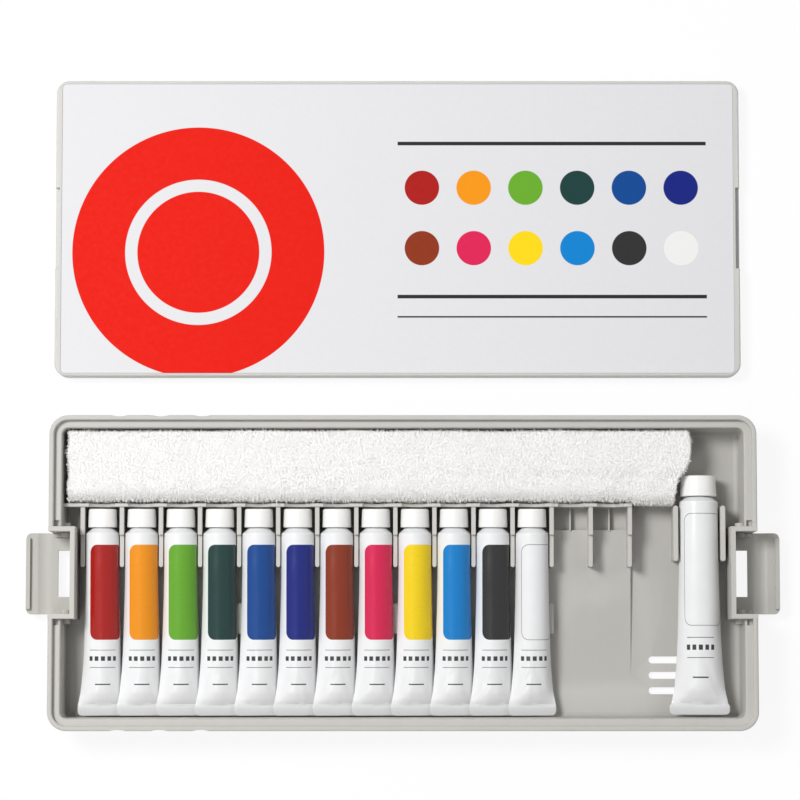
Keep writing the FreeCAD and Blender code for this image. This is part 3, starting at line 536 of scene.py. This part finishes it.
# The folded end: places along it, and its half-thickness there, with a groove above the fold
CRIMP_OUTLINE = (
    (0.05, 0.80 * MM),
    (0.10, 0.66 * MM),
    (0.15, 0.63 * MM),
    (0.20, 0.70 * MM),
    (0.28, 0.75 * MM),
    (0.40, 0.73 * MM),
    (0.52, 0.71 * MM),
    (0.64, 0.70 * MM),
    (0.76, 0.70 * MM),
    (0.86, 0.69 * MM),
    (0.93, 0.64 * MM),
    (0.98, 0.52 * MM),
    (1.0, 0.36 * MM),
)
CREASE_DEPTH = 0.42 * MM
CREASE_WIDTH = 1.2 * MM
# Where a crease starts and ends: across as shares of the radius, along as shares of the sleeve
CREASE_START = (0.95, 1.2)
CREASE_START_ALONG = 0.985
CREASE_END = (0.0, 0.35)
CREASE_END_ALONG = (0.74, 0.84)
RIDGE_DEPTH = 0.05 * MM
RIDGE_LENGTH = 0.30 * MM
RIDGE_SPAN = (0.1, 0.95)
RIDGE_REACH = 0.96
DEEPEST_DENT = 0.55 * MM
# Dents grow from this depth, from this share of the sleeve on
DENT_LEAST = 0.04 * MM
DENT_GROWTH = 0.75 * MM
DENT_FROM = 0.25
DENT_POWER = 1.4
# Dents fade out at the sides of a section, and take at most this share of its half-height
FLANK_POWER = 6
DENT_MOST = 0.5
MOUTH_BEVEL = 0.3 * MM
NECK_BEVEL = 0.4 * MM
NECK_FOOT = 0.3 * MM
SHOULDER_STEPS = 5


def lens_point(step, half_width, half_height):
    """A point of a section made of two arcs, counted round from one side."""
    upper = step < HALF_STEPS
    share = (step % HALF_STEPS) / HALF_STEPS * 2 - 1
    half_height = min(half_height, half_width)
    bend = (half_width**2 + half_height**2) / (2 * half_height)
    spread = math.asin(min(half_width / bend, 1.0))
    x = bend * math.sin(share * spread)
    z = half_height - bend + bend * math.cos(share * spread)
    return (x, z) if upper else (-x, -z)


def slab_point(step, half_width, half_height):
    """The same, for a flat section with round sides."""
    upper = step < HALF_STEPS
    share = (step % HALF_STEPS) / HALF_STEPS * 2 - 1
    x = half_width * math.sin(share * math.pi / 2)
    z = half_height * (1 - min(abs(x) / half_width, 1.0) ** 10) ** 0.1
    return (x, z) if upper else (-x, -z)


def crease(x, along, sleeve, radius, seed):
    """Depth of two soft creases that run inwards from the corners of the crimp."""
    chance = random.Random(seed)
    depth = 0.0
    for side in (-1, 1):
        start = Vector((side * radius * chance.uniform(*CREASE_START), sleeve * CREASE_START_ALONG))
        end_across = side * radius * chance.uniform(*CREASE_END)
        end = Vector((end_across, sleeve * chance.uniform(*CREASE_END_ALONG)))
        run = end - start
        spot = Vector((x, along)) - start
        share = spot.dot(run) / run.length_squared
        held = min(max(share, 0.0), 1.0)
        away = (spot - run * held).length
        fade = math.sin(math.pi * (0.15 + 0.85 * (1 - held))) if share < 1 else 0.0
        depth += CREASE_DEPTH * max(fade, 0.0) * math.exp(-((away / CREASE_WIDTH) ** 2))
    return depth


def dent(x, along, sleeve, radius, seed):
    """How far a spot of the sleeve is pressed in: soft dents that deepen towards the crimp."""
    share = along / sleeve
    depth = DENT_LEAST + DENT_GROWTH * max(0.0, share - DENT_FROM) ** DENT_POWER
    wave = noise.noise(Vector((x / radius * 0.9, along * 55.0, seed * 7.31)))
    fine = noise.noise(Vector((x / radius * 2.6, along * 120.0, seed * 3.17 + 40.0)))
    pressed = depth * max(0.0, 0.35 + wave + 0.35 * fine)
    pressed += crease(x, along, sleeve, radius, seed)
    return DEEPEST_DENT * math.tanh(pressed / DEEPEST_DENT)


def section_dent(x, share, width, height, sizes, seed):
    """The dent at a spot of a section that lies at a share of the sleeve."""
    radius = sizes["radius"]
    sleeve = sizes["length"] - CRIMP_LENGTH
    flank = 1 - min(abs(x) / width, 1.0) ** FLANK_POWER
    return min(dent(x, share * sleeve, sleeve, radius, seed) * flank, DENT_MOST * height)


def sleeve_rings(sizes, seed):
    """Rings of points from inside the bore, over the neck, to the crimp's end; x across, y along, z up."""
    radius = sizes["radius"]
    sleeve = sizes["length"] - CRIMP_LENGTH
    rings = []
    around = 2 * HALF_STEPS
    mouth = sizes["shoulder"] + sizes["neck_length"]
    profile = [
        (sizes["bore"], 0.0),
        (sizes["bore"], mouth - MOUTH_BEVEL),
        (sizes["bore"] + MOUTH_BEVEL, mouth),
        (sizes["neck"] - NECK_BEVEL, mouth),
        (sizes["neck"], mouth - NECK_BEVEL),
        (sizes["neck"], sizes["shoulder"] + NECK_FOOT),
        (sizes["shoulder_top"], sizes["shoulder"]),
    ]
    for step in range(SHOULDER_STEPS):
        turn = math.radians(60 - 15 * step)
        drop = SHOULDER_ROUND * (1 - math.sin(turn))
        inward = SHOULDER_ROUND * (1 - math.cos(turn))
        profile.append((radius - inward, sizes["shoulder_lift"] - drop))
    for r, y in profile:
        ring = []
        for step in range(around):
            x, z = lens_point(step, r, r)
            ring.append(Vector((x, y, z)))
        rings.append(ring)
    for index in range(1, SLEEVE_RINGS):
        share = index / (SLEEVE_RINGS - 1)
        width, height = smooth_stations(share)
        width *= radius
        height *= radius
        ring = []
        for step in range(around):
            x, z = lens_point(step, width, height)
            press = section_dent(x, share, width, height, sizes, seed)
            ring.append(Vector((x, -share * sleeve, z - math.copysign(press, z) if z else z)))
        rings.append(ring)
    width = smooth_stations(1.0)[0] * radius
    for share, thick in CRIMP_OUTLINE:
        along = share * CRIMP_LENGTH
        settle = min(1.0, share * 5.0)
        half = width + (sizes["crimp_half"] - width) * settle
        into_corner = along - (CRIMP_LENGTH - CRIMP_CORNER)
        if into_corner > 0:
            half -= CRIMP_CORNER - math.sqrt(max(CRIMP_CORNER**2 - into_corner**2, 0.0))
        ring = []
        for step in range(around):
            lens = lens_point(step, half, thick)
            slab = slab_point(step, half, thick)
            x = lens[0] + (slab[0] - lens[0]) * settle
            z = lens[1] + (slab[1] - lens[1]) * settle
            if RIDGE_SPAN[0] < share < RIDGE_SPAN[1] and abs(x) < half * RIDGE_REACH:
                ridge = RIDGE_DEPTH * (0.5 + 0.5 * math.sin(x / RIDGE_LENGTH)) * settle
                z -= math.copysign(ridge, z)
            ring.append(Vector((x, -sleeve - along, z)))
        rings.append(ring)
    return rings


def ring_faces(ring_count, around):
    faces = []
    for ring in range(ring_count - 1):
        for step in range(around):
            following = (step + 1) % around
            low = ring * around
            high = low + around
            faces.append((low + step, low + following, high + following, high + step))
    faces.append(tuple(reversed(range(around))))
    last = (ring_count - 1) * around
    faces.append(tuple(last + step for step in range(around)))
    return faces


def tube_matrix(colour, sizes):
    """The tube's own frame: across, along the axis towards the cap, and up."""
    joint = next(j for j in frame["joints"] if j["child"] == f"{colour}_cap")
    axis = Vector(joint["axis"]).normalized()
    across = Vector((1.0, 0.0, 0.0))
    up = across.cross(axis)
    wide = across * math.cos(sizes["roll"]) - up * math.sin(sizes["roll"])
    up = wide.cross(axis)
    turn = Matrix((wide, axis, up)).transposed().to_4x4()
    return Matrix.Translation(Vector(joint["pos_m"])) @ turn


def keep_rest(made, points):
    """Stores each point's place in the tube's own frame, for its print."""
    attribute = made.data.attributes.new("rest", "FLOAT_VECTOR", "POINT")
    values = [value for point in points for value in (point.x, -point.y, point.z)]
    attribute.data.foreach_set("vector", values)


def tube(colour, sizes, material, seed):
    rings = sleeve_rings(sizes, seed)
    points = [point for ring in rings for point in ring]
    place = tube_matrix(colour, sizes)
    faces = ring_faces(len(rings), 2 * HALF_STEPS)
    placed = [place @ point for point in points]
    made = new_object(f"sleeve_{colour}", placed, faces, material, math.radians(50))
    keep_rest(made, points)
    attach(made, f"{colour}_tube")
    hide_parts(f"tube_{colour}")


PASTE_INSET = 0.55 * MM
PASTE_RINGS = 22
PASTE_FIRST = 0.03
PASTE_LAST = 0.975
# Gaps of the paint under the mouth and in the bore, and the least half-thickness of its flat end
PASTE_UNDER_MOUTH = 0.6 * MM
PASTE_BORE_GAP = 0.05 * MM
PASTE_LEAST = 0.01 * MM


def paste(colour, sizes, material, seed):
    """The paint inside a sleeve: it follows the sleeve's dents and fills the neck."""
    radius = sizes["radius"]
    sleeve = sizes["length"] - CRIMP_LENGTH
    around = 2 * HALF_STEPS
    rings = []
    top = sizes["shoulder"] + sizes["neck_length"] - PASTE_UNDER_MOUTH
    bore = sizes["bore"] - PASTE_BORE_GAP
    profile = (
        (bore * 0.55, top),
        (bore, top - 0.35 * MM),
        (bore, -0.4 * MM),
        (radius - 1.3 * MM, -0.9 * MM),
    )
    for r, y in profile:
        rings.append([Vector((*lens_point(step, r, r), y)).xzy for step in range(around)])
    for index in range(PASTE_RINGS):
        share = PASTE_FIRST + (PASTE_LAST - PASTE_FIRST) * index / (PASTE_RINGS - 1)
        width, height = (value * radius for value in smooth_stations(share))
        ring = []
        for step in range(around):
            x, z = lens_point(step, width, height)
            press = section_dent(x, share, width, height, sizes, seed)
            thick = max(abs(z) - (press + PASTE_INSET), PASTE_LEAST)
            shrink = 1 - 2.2 * PASTE_INSET / width
            ring.append(Vector((x * shrink, -share * sleeve, math.copysign(thick, z))))
        rings.append(ring)
    points = [point for ring in rings for point in ring]
    place = tube_matrix(colour, sizes)
    placed = [place @ point for point in points]
    made = new_object(f"paste_{colour}", placed, ring_faces(len(rings), around), material)
    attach(made, f"{colour}_tube")
    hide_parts(f"paint_{colour}")


CAP_STEPS = 64
# The dished end of a cap, the bead round its foot and the tiny disc that closes it on its axis
CAP_DISH = 0.18 * MM
CAP_BEAD = 1.6 * MM
CAP_AXIS = 0.02 * MM
CAP_FOOT = 0.3 * MM
BORE_BEVEL = 0.2 * MM
ROUND_STEPS = 6


def cap_profile(sizes):
    """Radius and height of a cap's outline, from the middle of its end, down the outside and up its bore."""
    start = sizes["shoulder"] + CAP_GAP
    end = start + sizes["cap_length"]
    base = sizes["cap_base"]
    top = sizes["cap_top"]
    bore = sizes["neck"] + CAP_WALL_GAP
    points = [(CAP_AXIS, end - CAP_DISH), (top * 0.55, end - CAP_DISH), (top * 0.62, end)]
    for step in range(ROUND_STEPS):
        turn = math.radians(90 - 18 * step)
        points.append((top - CAP_ROUND * (1 - math.cos(turn)), end - CAP_ROUND * (1 - math.sin(turn))))
    bead = start + CAP_BEAD
    skirt = top + (base - top) * 0.82
    points += [
        (skirt, bead + 0.25 * MM),
        (skirt - 0.02 * MM, bead),
        (base - 0.03 * MM, bead - CAP_FOOT),
        (base, start + CAP_FOOT),
        (base - 0.09 * MM, start + 0.09 * MM),
        (base - CAP_FOOT, start),
        (bore + BORE_BEVEL, start),
        (bore, start + BORE_BEVEL),
        (bore, end - CAP_END),
        (CAP_AXIS, end - CAP_END),
    ]
    return points


def cap(colour, sizes, material):
    profile = cap_profile(sizes)
    place = tube_matrix(colour, sizes)
    points = []
    for radius, height in profile:
        for step in range(CAP_STEPS):
            turn = 2 * math.pi * step / CAP_STEPS
            points.append(place @ Vector((radius * math.cos(turn), height, -radius * math.sin(turn))))
    faces = ring_faces(len(profile), CAP_STEPS)
    made = new_object(f"screw_{colour}", points, faces, material, math.radians(38))
    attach(made, f"{colour}_cap")
    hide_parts(f"cap_{colour}")


# Towel: one sheet folded in half three times, so that the front edge is one deep round fold
TOWEL_LAYERS = 8
TOWEL_PITCH = 2.50 * MM
TOWEL_THICKNESS = 2.1 * MM
TOWEL_MARGIN = 0.4 * MM
TOWEL_STEP_ALONG = 3.0 * MM
TOWEL_STEP_ROUND = 1.6 * MM
# Layer of each eighth of the sheet, counted from the top
TOWEL_ORDER = (0, 7, 4, 3, 2, 5, 6, 1)
FOLD_POWER = 0.68
# Right-hand end of the towel: place across the tray, and how far the end lies back from its furthest point
TOWEL_END = (
    (30.0, 9.6),
    (36.0, 8.4),
    (43.0, 7.1),
    (46.5, 6.4),
    (48.3, 4.7),
    (50.5, 2.6),
    (54.5, 0.9),
    (61.0, 0.1),
    (66.0, 0.5),
    (70.0, 2.0),
)
TOWEL_END_EDGE = 0.6 * MM
TOWEL_LOOSE = 0.5 * MM
# Left-hand end: how far the layers' cut edges lie back, unevenly
TOWEL_START_BACK = 2.0 * MM
# Past the rack's end the front fold swells out a little
SWELL_FROM = 107.0 * MM
SWELL_RUN = 9.0 * MM
SWELL_DEPTH = 1.6 * MM
SAG = 0.8 * MM
WANDER = 0.6 * MM
RIPPLE = 0.08
# Waves to the metre of the cloth's unevenness: along, across and up the towel
RIPPLE_WAVES = (28.0, 60.0, 60.0)
# The same for the sag, along and across, and for the wander, along and up
SAG_WAVES = (16.0, 25.0)
WANDER_WAVES = (45.0, 20.0)


def towel_path():
    """Points of the folded section (y, z), from one cut edge of the sheet to the other."""
    half_stack = (TOWEL_LAYERS - 1) / 2 * TOWEL_PITCH
    middle = (TOWEL_LOW.z + TOWEL_HIGH.z) / 2
    front = TOWEL_LOW.y + half_stack + TOWEL_THICKNESS / 2 + TOWEL_MARGIN
    back = TOWEL_HIGH.y - 1.5 * TOWEL_PITCH - TOWEL_THICKNESS / 2 - TOWEL_MARGIN
    edge = TOWEL_HIGH.y - 2 * TOWEL_MARGIN
    levels = [middle + half_stack - layer * TOWEL_PITCH for layer in range(TOWEL_LAYERS)]
    points = []

    def run(level, start, end):
        count = max(2, round(abs(end - start) / TOWEL_STEP_ROUND))
        for step in range(count + 1):
            points.append(Vector((start + (end - start) * step / count, level)))

    def fold(first, second, y, outward):
        radius = abs(first - second) / 2
        centre = (first + second) / 2
        count = max(6, round(math.pi * radius / TOWEL_STEP_ROUND))
        sense = 1 if first > second else -1
        for step in range(1, count):
            turn = math.pi * step / count
            out = math.sin(turn) ** FOLD_POWER
            over = math.copysign(abs(math.cos(turn)) ** FOLD_POWER, math.cos(turn))
            points.append(Vector((y + outward * radius * out, centre + sense * radius * over)))

    run(levels[0], edge, front)
    for index in range(1, TOWEL_LAYERS):
        previous = levels[TOWEL_ORDER[index - 1]]
        level = levels[TOWEL_ORDER[index]]
        forward = index % 2 == 1
        fold(previous, level, front if forward else back, -1 if forward else 1)
        last = index == TOWEL_LAYERS - 1
        if forward:
            run(level, front, edge if last else back)
        else:
            run(level, back, front)
    return points


def towel_end(y, z):
    """Where the towel's right-hand end lies at a place of its section."""
    back = TOWEL_END[0][1]
    for (first, before), (second, after) in zip(TOWEL_END, TOWEL_END[1:]):
        if y > first * MM:
            share = min((y / MM - first) / (second - first), 1.0)
            back = before + (after - before) * share
    loose = TOWEL_LOOSE * math.sin(z * 900.0) ** 2
    return TOWEL_HIGH.x - TOWEL_END_EDGE - back * MM - loose


def towel_start(y, z):
    """Where the towel's left-hand end lies at a place of its section."""
    uneven = 0.5 + 0.5 * noise.noise(Vector((y * 140.0, z * 300.0, 5.1)))
    return TOWEL_LOW.x + TOWEL_END_EDGE + TOWEL_START_BACK * uneven


def swell(x):
    """How far the front fold comes out at a place along the towel."""
    share = min(max((x - SWELL_FROM) / SWELL_RUN, 0.0), 1.0)
    return SWELL_DEPTH * share * share * (3 - 2 * share)


def towel_sheet(material):
    """The folded sheet as a closed mesh."""
    path = towel_path()
    normals = []
    for index in range(len(path)):
        before = path[max(index - 1, 0)]
        after = path[min(index + 1, len(path) - 1)]
        tangent = (after - before).normalized()
        normals.append(Vector((-tangent.y, tangent.x)))
    middle = (TOWEL_LOW.y + TOWEL_HIGH.y) / 2
    columns = round((TOWEL_HIGH.x - TOWEL_LOW.x) / TOWEL_STEP_ALONG)
    vertices = []
    for side in (1, -1):
        for spot, normal in zip(path, normals):
            for column in range(columns + 1):
                share = column / columns
                left = towel_start(spot.x, spot.y)
                right = towel_end(spot.x, spot.y)
                x = left + (right - left) * share
                scaled = (x * RIPPLE_WAVES[0], spot.x * RIPPLE_WAVES[1], spot.y * RIPPLE_WAVES[2])
                ripple = noise.noise(Vector(scaled))
                thick = TOWEL_THICKNESS / 2 * (1 + RIPPLE * ripple)
                y = spot.x + normal.x * thick * side
                z = spot.y + normal.y * thick * side
                sag = SAG * (0.5 + 0.5 * noise.noise(Vector((x * SAG_WAVES[0], y * SAG_WAVES[1], 3.7))))
                height = (z - TOWEL_LOW.z) / (TOWEL_HIGH.z - TOWEL_LOW.z)
                toward_front = (middle - y) / (TOWEL_HIGH.y - TOWEL_LOW.y) * 2
                bend = noise.noise(Vector((x * WANDER_WAVES[0], 8.3, spot.y * WANDER_WAVES[1])))
                wander = WANDER * bend
                y += wander * toward_front - swell(x) * max(toward_front, 0.0)
                vertices.append((x, y, z - sag * max(height, 0.0) ** 2))
    rows = len(path)
    wide = columns + 1
    half = rows * wide
    faces = []
    for row in range(rows - 1):
        for column in range(columns):
            a = row * wide + column
            b = a + 1
            c = b + wide
            d = a + wide
            faces.append((a, b, c, d))
            faces.append((half + d, half + c, half + b, half + a))
    for row in range(rows - 1):
        a = row * wide
        faces.append((a, a + wide, half + a + wide, half + a))
        b = a + columns
        faces.append((b + wide, b, half + b, half + b + wide))
    for column in range(columns):
        faces.append((column + 1, column, half + column, half + column + 1))
        a = (rows - 1) * wide + column
        faces.append((a, a + 1, half + a + 1, half + a))
    return new_object("terry_towel", vertices, faces, material, math.radians(60))


PILE_PITCH = 0.78 * MM
PILE_HEIGHT = 0.95 * MM
PILE_SPAN = 0.62 * MM
PILE_YARN = 0.30 * MM
PILE_STEPS = 3
PILE_LEAN = 0.7
PILE_DEEP = 0.25
HEIGHT_RANGE = (0.7, 1.25)
SPAN_RANGE = (0.7, 1.3)
YARN_SIDES = 3
# How far the loops stray from the rows of the weave
ROW_SPREAD = 1.1
EDGE_SPREAD = 4.0
# How far a face has to look up to have its loops in rows, or to count as the top
ROWS_UPRIGHT = 0.7
TOP_UPRIGHT = 0.75
# Faces that look down, or neither up nor sideways, have no loops
DOWNWARD = -0.5
BARELY_UP = 0.25
BARELY_SIDEWAYS = 0.3
CELL_RANGE = (0.1, 0.9)
EDGE_STRETCH = 1.2
EDGE_PITCH = 0.85 * MM
TUFT_SHARE = 0.16
TUFT_STRETCH = 2.2
# How far down the sides of the pack its loops stand close together
PILE_DOWN = 9.0 * MM
SIDE_PITCH = 1.1 * MM
OUTER_LAYER = 2.6 * MM
TOP_DEPTH = 1.9 * MM
# Towards the front the top layer bends down
FRONT_ROUND = 6.0 * MM
FRONT_SLOPE = 0.55
# Tufts of the front fold that lie over the rack's bar
FRINGE_PITCH = 0.55 * MM
FRINGE_HEIGHTS = (17.9 * MM, 20.2 * MM)
FRINGE_STRETCH = (0.8, 3.0)
FRINGE_DEPTH = (0.2 * MM, 1.2 * MM)
FRINGE_WAY = Vector((0.0, -1.0, 0.35))


def pile_loop(root, normal, stretch, chance, vertices, faces):
    """One loop of three-sided yarn that stands on the cloth, with both ends in it."""
    lean = Vector((chance.uniform(-1, 1), chance.uniform(-1, 1), chance.uniform(-1, 1)))
    upward = (normal + PILE_LEAN * lean).normalized()
    spread = ROW_SPREAD if normal.z > ROWS_UPRIGHT else EDGE_SPREAD
    along = Vector((1.0, chance.uniform(-spread, spread), chance.uniform(-spread, spread) / 2))
    side = upward.cross(along).normalized()
    flat = upward.cross(side)
    height = PILE_HEIGHT * stretch * chance.uniform(*HEIGHT_RANGE)
    span = PILE_SPAN * chance.uniform(*SPAN_RANGE)
    first = len(vertices)
    for step in range(PILE_STEPS + 1):
        turn = math.pi * step / PILE_STEPS
        outward = side * math.cos(turn) + upward * math.sin(turn)
        centre = root + side * (span / 2 * math.cos(turn)) + upward * (height * (math.sin(turn) - PILE_DEEP))
        for corner in range(YARN_SIDES):
            angle = 2 * math.pi * corner / YARN_SIDES
            vertices.append(centre + (outward * math.cos(angle) + flat * math.sin(angle)) * (PILE_YARN / 2))
    for step in range(PILE_STEPS):
        low = first + step * YARN_SIDES
        high = low + YARN_SIDES
        for corner in range(YARN_SIDES):
            following = (corner + 1) % YARN_SIDES
            faces.append((low + corner, low + following, high + following, high + corner))
    faces.append(tuple(first + corner for corner in reversed(range(YARN_SIDES))))
    last = first + PILE_STEPS * YARN_SIDES
    faces.append(tuple(last + corner for corner in range(YARN_SIDES)))


def whole(number, chance):
    """A whole number that is right on average."""
    return int(number) + (chance.random() < number - int(number))


def on_outside(spot):
    """Whether a place of the sheet is on the outside of the folded pack, where it can be seen."""
    behind_front = spot.y - TOWEL_LOW.y + swell(spot.x)
    bend = FRONT_SLOPE * max(FRONT_ROUND - behind_front, 0.0)
    return (
        spot.z > TOWEL_HIGH.z - TOP_DEPTH - bend
        or behind_front < OUTER_LAYER
        or spot.y > TOWEL_HIGH.y - OUTER_LAYER
        or spot.x < towel_start(spot.y, spot.z) + OUTER_LAYER
        or spot.x > towel_end(spot.y, spot.z) - OUTER_LAYER
    )


def edge_stretch(chance):
    """Length of a loop at an edge: now and then one is pulled out into a tuft."""
    return TUFT_STRETCH if chance.random() < TUFT_SHARE else EDGE_STRETCH


def towel_pile(sheet, material):
    """Loops over the pack's outside: both halves of its top, its edges with the fringe, and its sides."""
    chance = random.Random(11)
    middle = (TOWEL_LOW.x + TOWEL_HIGH.x) / 2
    left_top = ([], [])
    right_top = ([], [])
    edges = ([], [])
    sides = ([], [])
    for face in sheet.data.polygons:
        upright = face.normal.z
        sideways = max(abs(face.normal.x), abs(face.normal.y))
        hidden = upright < DOWNWARD or (upright < BARELY_UP and sideways < BARELY_SIDEWAYS)
        if hidden or not on_outside(face.center):
            continue
        at_edge = upright < TOP_UPRIGHT
        corners = [sheet.data.vertices[index].co for index in face.vertices]
        if face.center.z < TOWEL_HIGH.z - PILE_DOWN:
            pitch, piece = SIDE_PITCH, sides
        elif at_edge:
            pitch, piece = EDGE_PITCH, edges
        else:
            pitch, piece = PILE_PITCH, left_top if face.center.x < middle else right_top
        columns = whole((corners[1] - corners[0]).length / pitch, chance)
        rows = whole((corners[3] - corners[0]).length / pitch, chance)
        for cell in range(columns * rows):
            row, column = divmod(cell, columns)
            u = (column + chance.uniform(*CELL_RANGE)) / columns
            v = (row + chance.uniform(*CELL_RANGE)) / rows
            root = corners[0].lerp(corners[1], u).lerp(corners[3].lerp(corners[2], u), v)
            stretch = edge_stretch(chance) if at_edge else 1.0
            pile_loop(root, face.normal, stretch, chance, *piece)
    left = TOWEL_LOW.x + TOWEL_END_EDGE
    right = towel_end(TOWEL_LOW.y, TOWEL_HIGH.z)
    for index in range(round((right - left) / FRINGE_PITCH)):
        x = left + (index + chance.random()) * FRINGE_PITCH
        y = TOWEL_LOW.y + TOWEL_MARGIN - swell(x) + chance.uniform(*FRINGE_DEPTH)
        root = Vector((x, y, chance.uniform(*FRINGE_HEIGHTS)))
        pile_loop(root, FRINGE_WAY, chance.uniform(*FRINGE_STRETCH), chance, *edges)
    return [
        new_object("terry_loops_left", *left_top, material),
        new_object("terry_loops_right", *right_top, material),
        new_object("terry_edges", *edges, material),
        new_object("terry_sides", *sides, material),
    ]


def towel():
    sheet = towel_sheet(terry_ground())
    loops = towel_pile(sheet, terry_pile())
    path = towel_path()
    for piece in (sheet, *loops):
        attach(piece, "towel")
    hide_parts("towel")


# Assembly


def dress_moulding():
    dress("tray", moulded_plastic("tray_plastic", TRAY_GREY, True))
    # Painted shade: the latches get a darker copy of the tray's plastic
    latch_shaded_plastic = moulded_plastic("latch_shaded_plastic", LATCH_SHADED_GREY, False)
    dress("latch_left", latch_shaded_plastic)
    dress("latch_right", latch_shaded_plastic)
    dress("lid_shell", moulded_plastic("lid_plastic", LID_GREY, False))
    dress("lid_card", printed_card())


# How much longer the large tube's label is than a small one's
LARGE_STRETCH = 1.16


def make_tubes():
    plastic = cap_plastic()
    for number, colour in enumerate(list(PAINTS) + [LARGE]):
        sizes = LARGE_TUBE if colour == LARGE else SMALL_TUBE
        paint = None if colour in ("white", LARGE) else PAINTS[colour]
        stretch = LARGE_STRETCH if colour == LARGE else 1.0
        label = label_lacquer(f"label_{colour}", paint, stretch, sizes["length"] - CRIMP_LENGTH)
        tube(colour, sizes, label, number + 1)
        cap(colour, sizes, plastic)
        filling = paint_paste(f"paste_{colour}", PAINTS.get(colour, PAINTS["white"]))
        paste(colour, sizes, filling, number + 1)


FLOOR_SIZE = 6.0
FLOOR_DROP = 0.4 * MM
FLOOR_PAPER = (0.95, 0.95, 0.95, 1.0)
# How much of the floor's look is plain white; the rest keeps the shadow
FLOOR_WHITE = 0.90
WHITE = (1.0, 1.0, 1.0, 1.0)


def make_stage():
    bpy.ops.mesh.primitive_plane_add(size=FLOOR_SIZE, location=(0, 0, -FLOOR_DROP))
    floor = bpy.context.object
    floor.name = "floor"
    material = bpy.data.materials.new("floor_white")
    material.use_nodes = True
    tree = material.node_tree
    tree.nodes.clear()
    paper = add(tree, "BsdfDiffuse", {"Color": FLOOR_PAPER})
    white = add(tree, "Emission", {"Color": WHITE, "Strength": 1.0})
    path = add(tree, "LightPath")
    seen = maths(tree, "MAXIMUM", path.outputs["Is Camera Ray"], path.outputs["Is Glossy Ray"])
    seen = maths(tree, "MAXIMUM", seen, path.outputs["Is Transmission Ray"])
    share = maths(tree, "MULTIPLY", seen, FLOOR_WHITE)
    mixed = add(tree, "MixShader", {0: share, 1: paper.outputs[0], 2: white.outputs[0]})
    output = add(tree, "OutputMaterial")
    tree.links.new(mixed.outputs[0], output.inputs["Surface"])
    floor.data.materials.append(material)


def area_light(name, place, aim, power, **shape):
    data = bpy.data.lights.new(name, "AREA")
    data.energy = power
    for key, value in shape.items():
        setattr(data, key, value)
    lamp = bpy.data.objects.new(name, data)
    lamp.location = place
    lamp.rotation_euler = (aim - place).to_track_quat("-Z", "Y").to_euler()
    scene.collection.objects.link(lamp)


def light_scene():
    world = bpy.data.worlds.new("studio")
    world.use_nodes = True
    tree = world.node_tree
    tree.nodes.clear()
    path = add(tree, "LightPath")
    seen = maths(tree, "MAXIMUM", path.outputs["Is Camera Ray"], path.outputs["Is Glossy Ray"])
    seen = maths(tree, "MAXIMUM", seen, path.outputs["Is Transmission Ray"])
    strength = ramp(tree, seen, 0.0, 1.0, WORLD_STRENGTH, 1.0)
    sky = add(tree, "Background", {"Color": WHITE, "Strength": strength})
    output = add(tree, "OutputWorld")
    tree.links.new(sky.outputs[0], output.inputs["Surface"])
    scene.world = world
    middle = Vector((0, 0, 0))
    area_light("key", KEY_PLACE, middle, KEY_POWER, shape="DISK", size=KEY_SIZE)
    area_light("fill", FILL_PLACE, middle, FILL_POWER, shape="DISK", size=FILL_SIZE)
    width, length = STRIP_SIZE
    area_light("strip", STRIP_PLACE, middle, STRIP_POWER, shape="RECTANGLE", size=width, size_y=length)
    scene.view_settings.view_transform = "Standard"


def place_camera():
    data = bpy.data.cameras.new("camera")
    data.sensor_width = SENSOR
    data.lens = SENSOR * CAMERA_DISTANCE / IMAGE_WIDTH
    data.clip_end = CLIP_END
    camera = bpy.data.objects.new("camera", data)
    back = Vector((0.0, -math.sin(CAMERA_TILT), math.cos(CAMERA_TILT)))
    camera.location = AIM + back * CAMERA_DISTANCE
    camera.rotation_euler = (-back).to_track_quat("-Z", "Y").to_euler()
    scene.collection.objects.link(camera)
    scene.camera = camera


place_camera()
dress_moulding()
make_tubes()
towel()
make_stage()
light_scene()
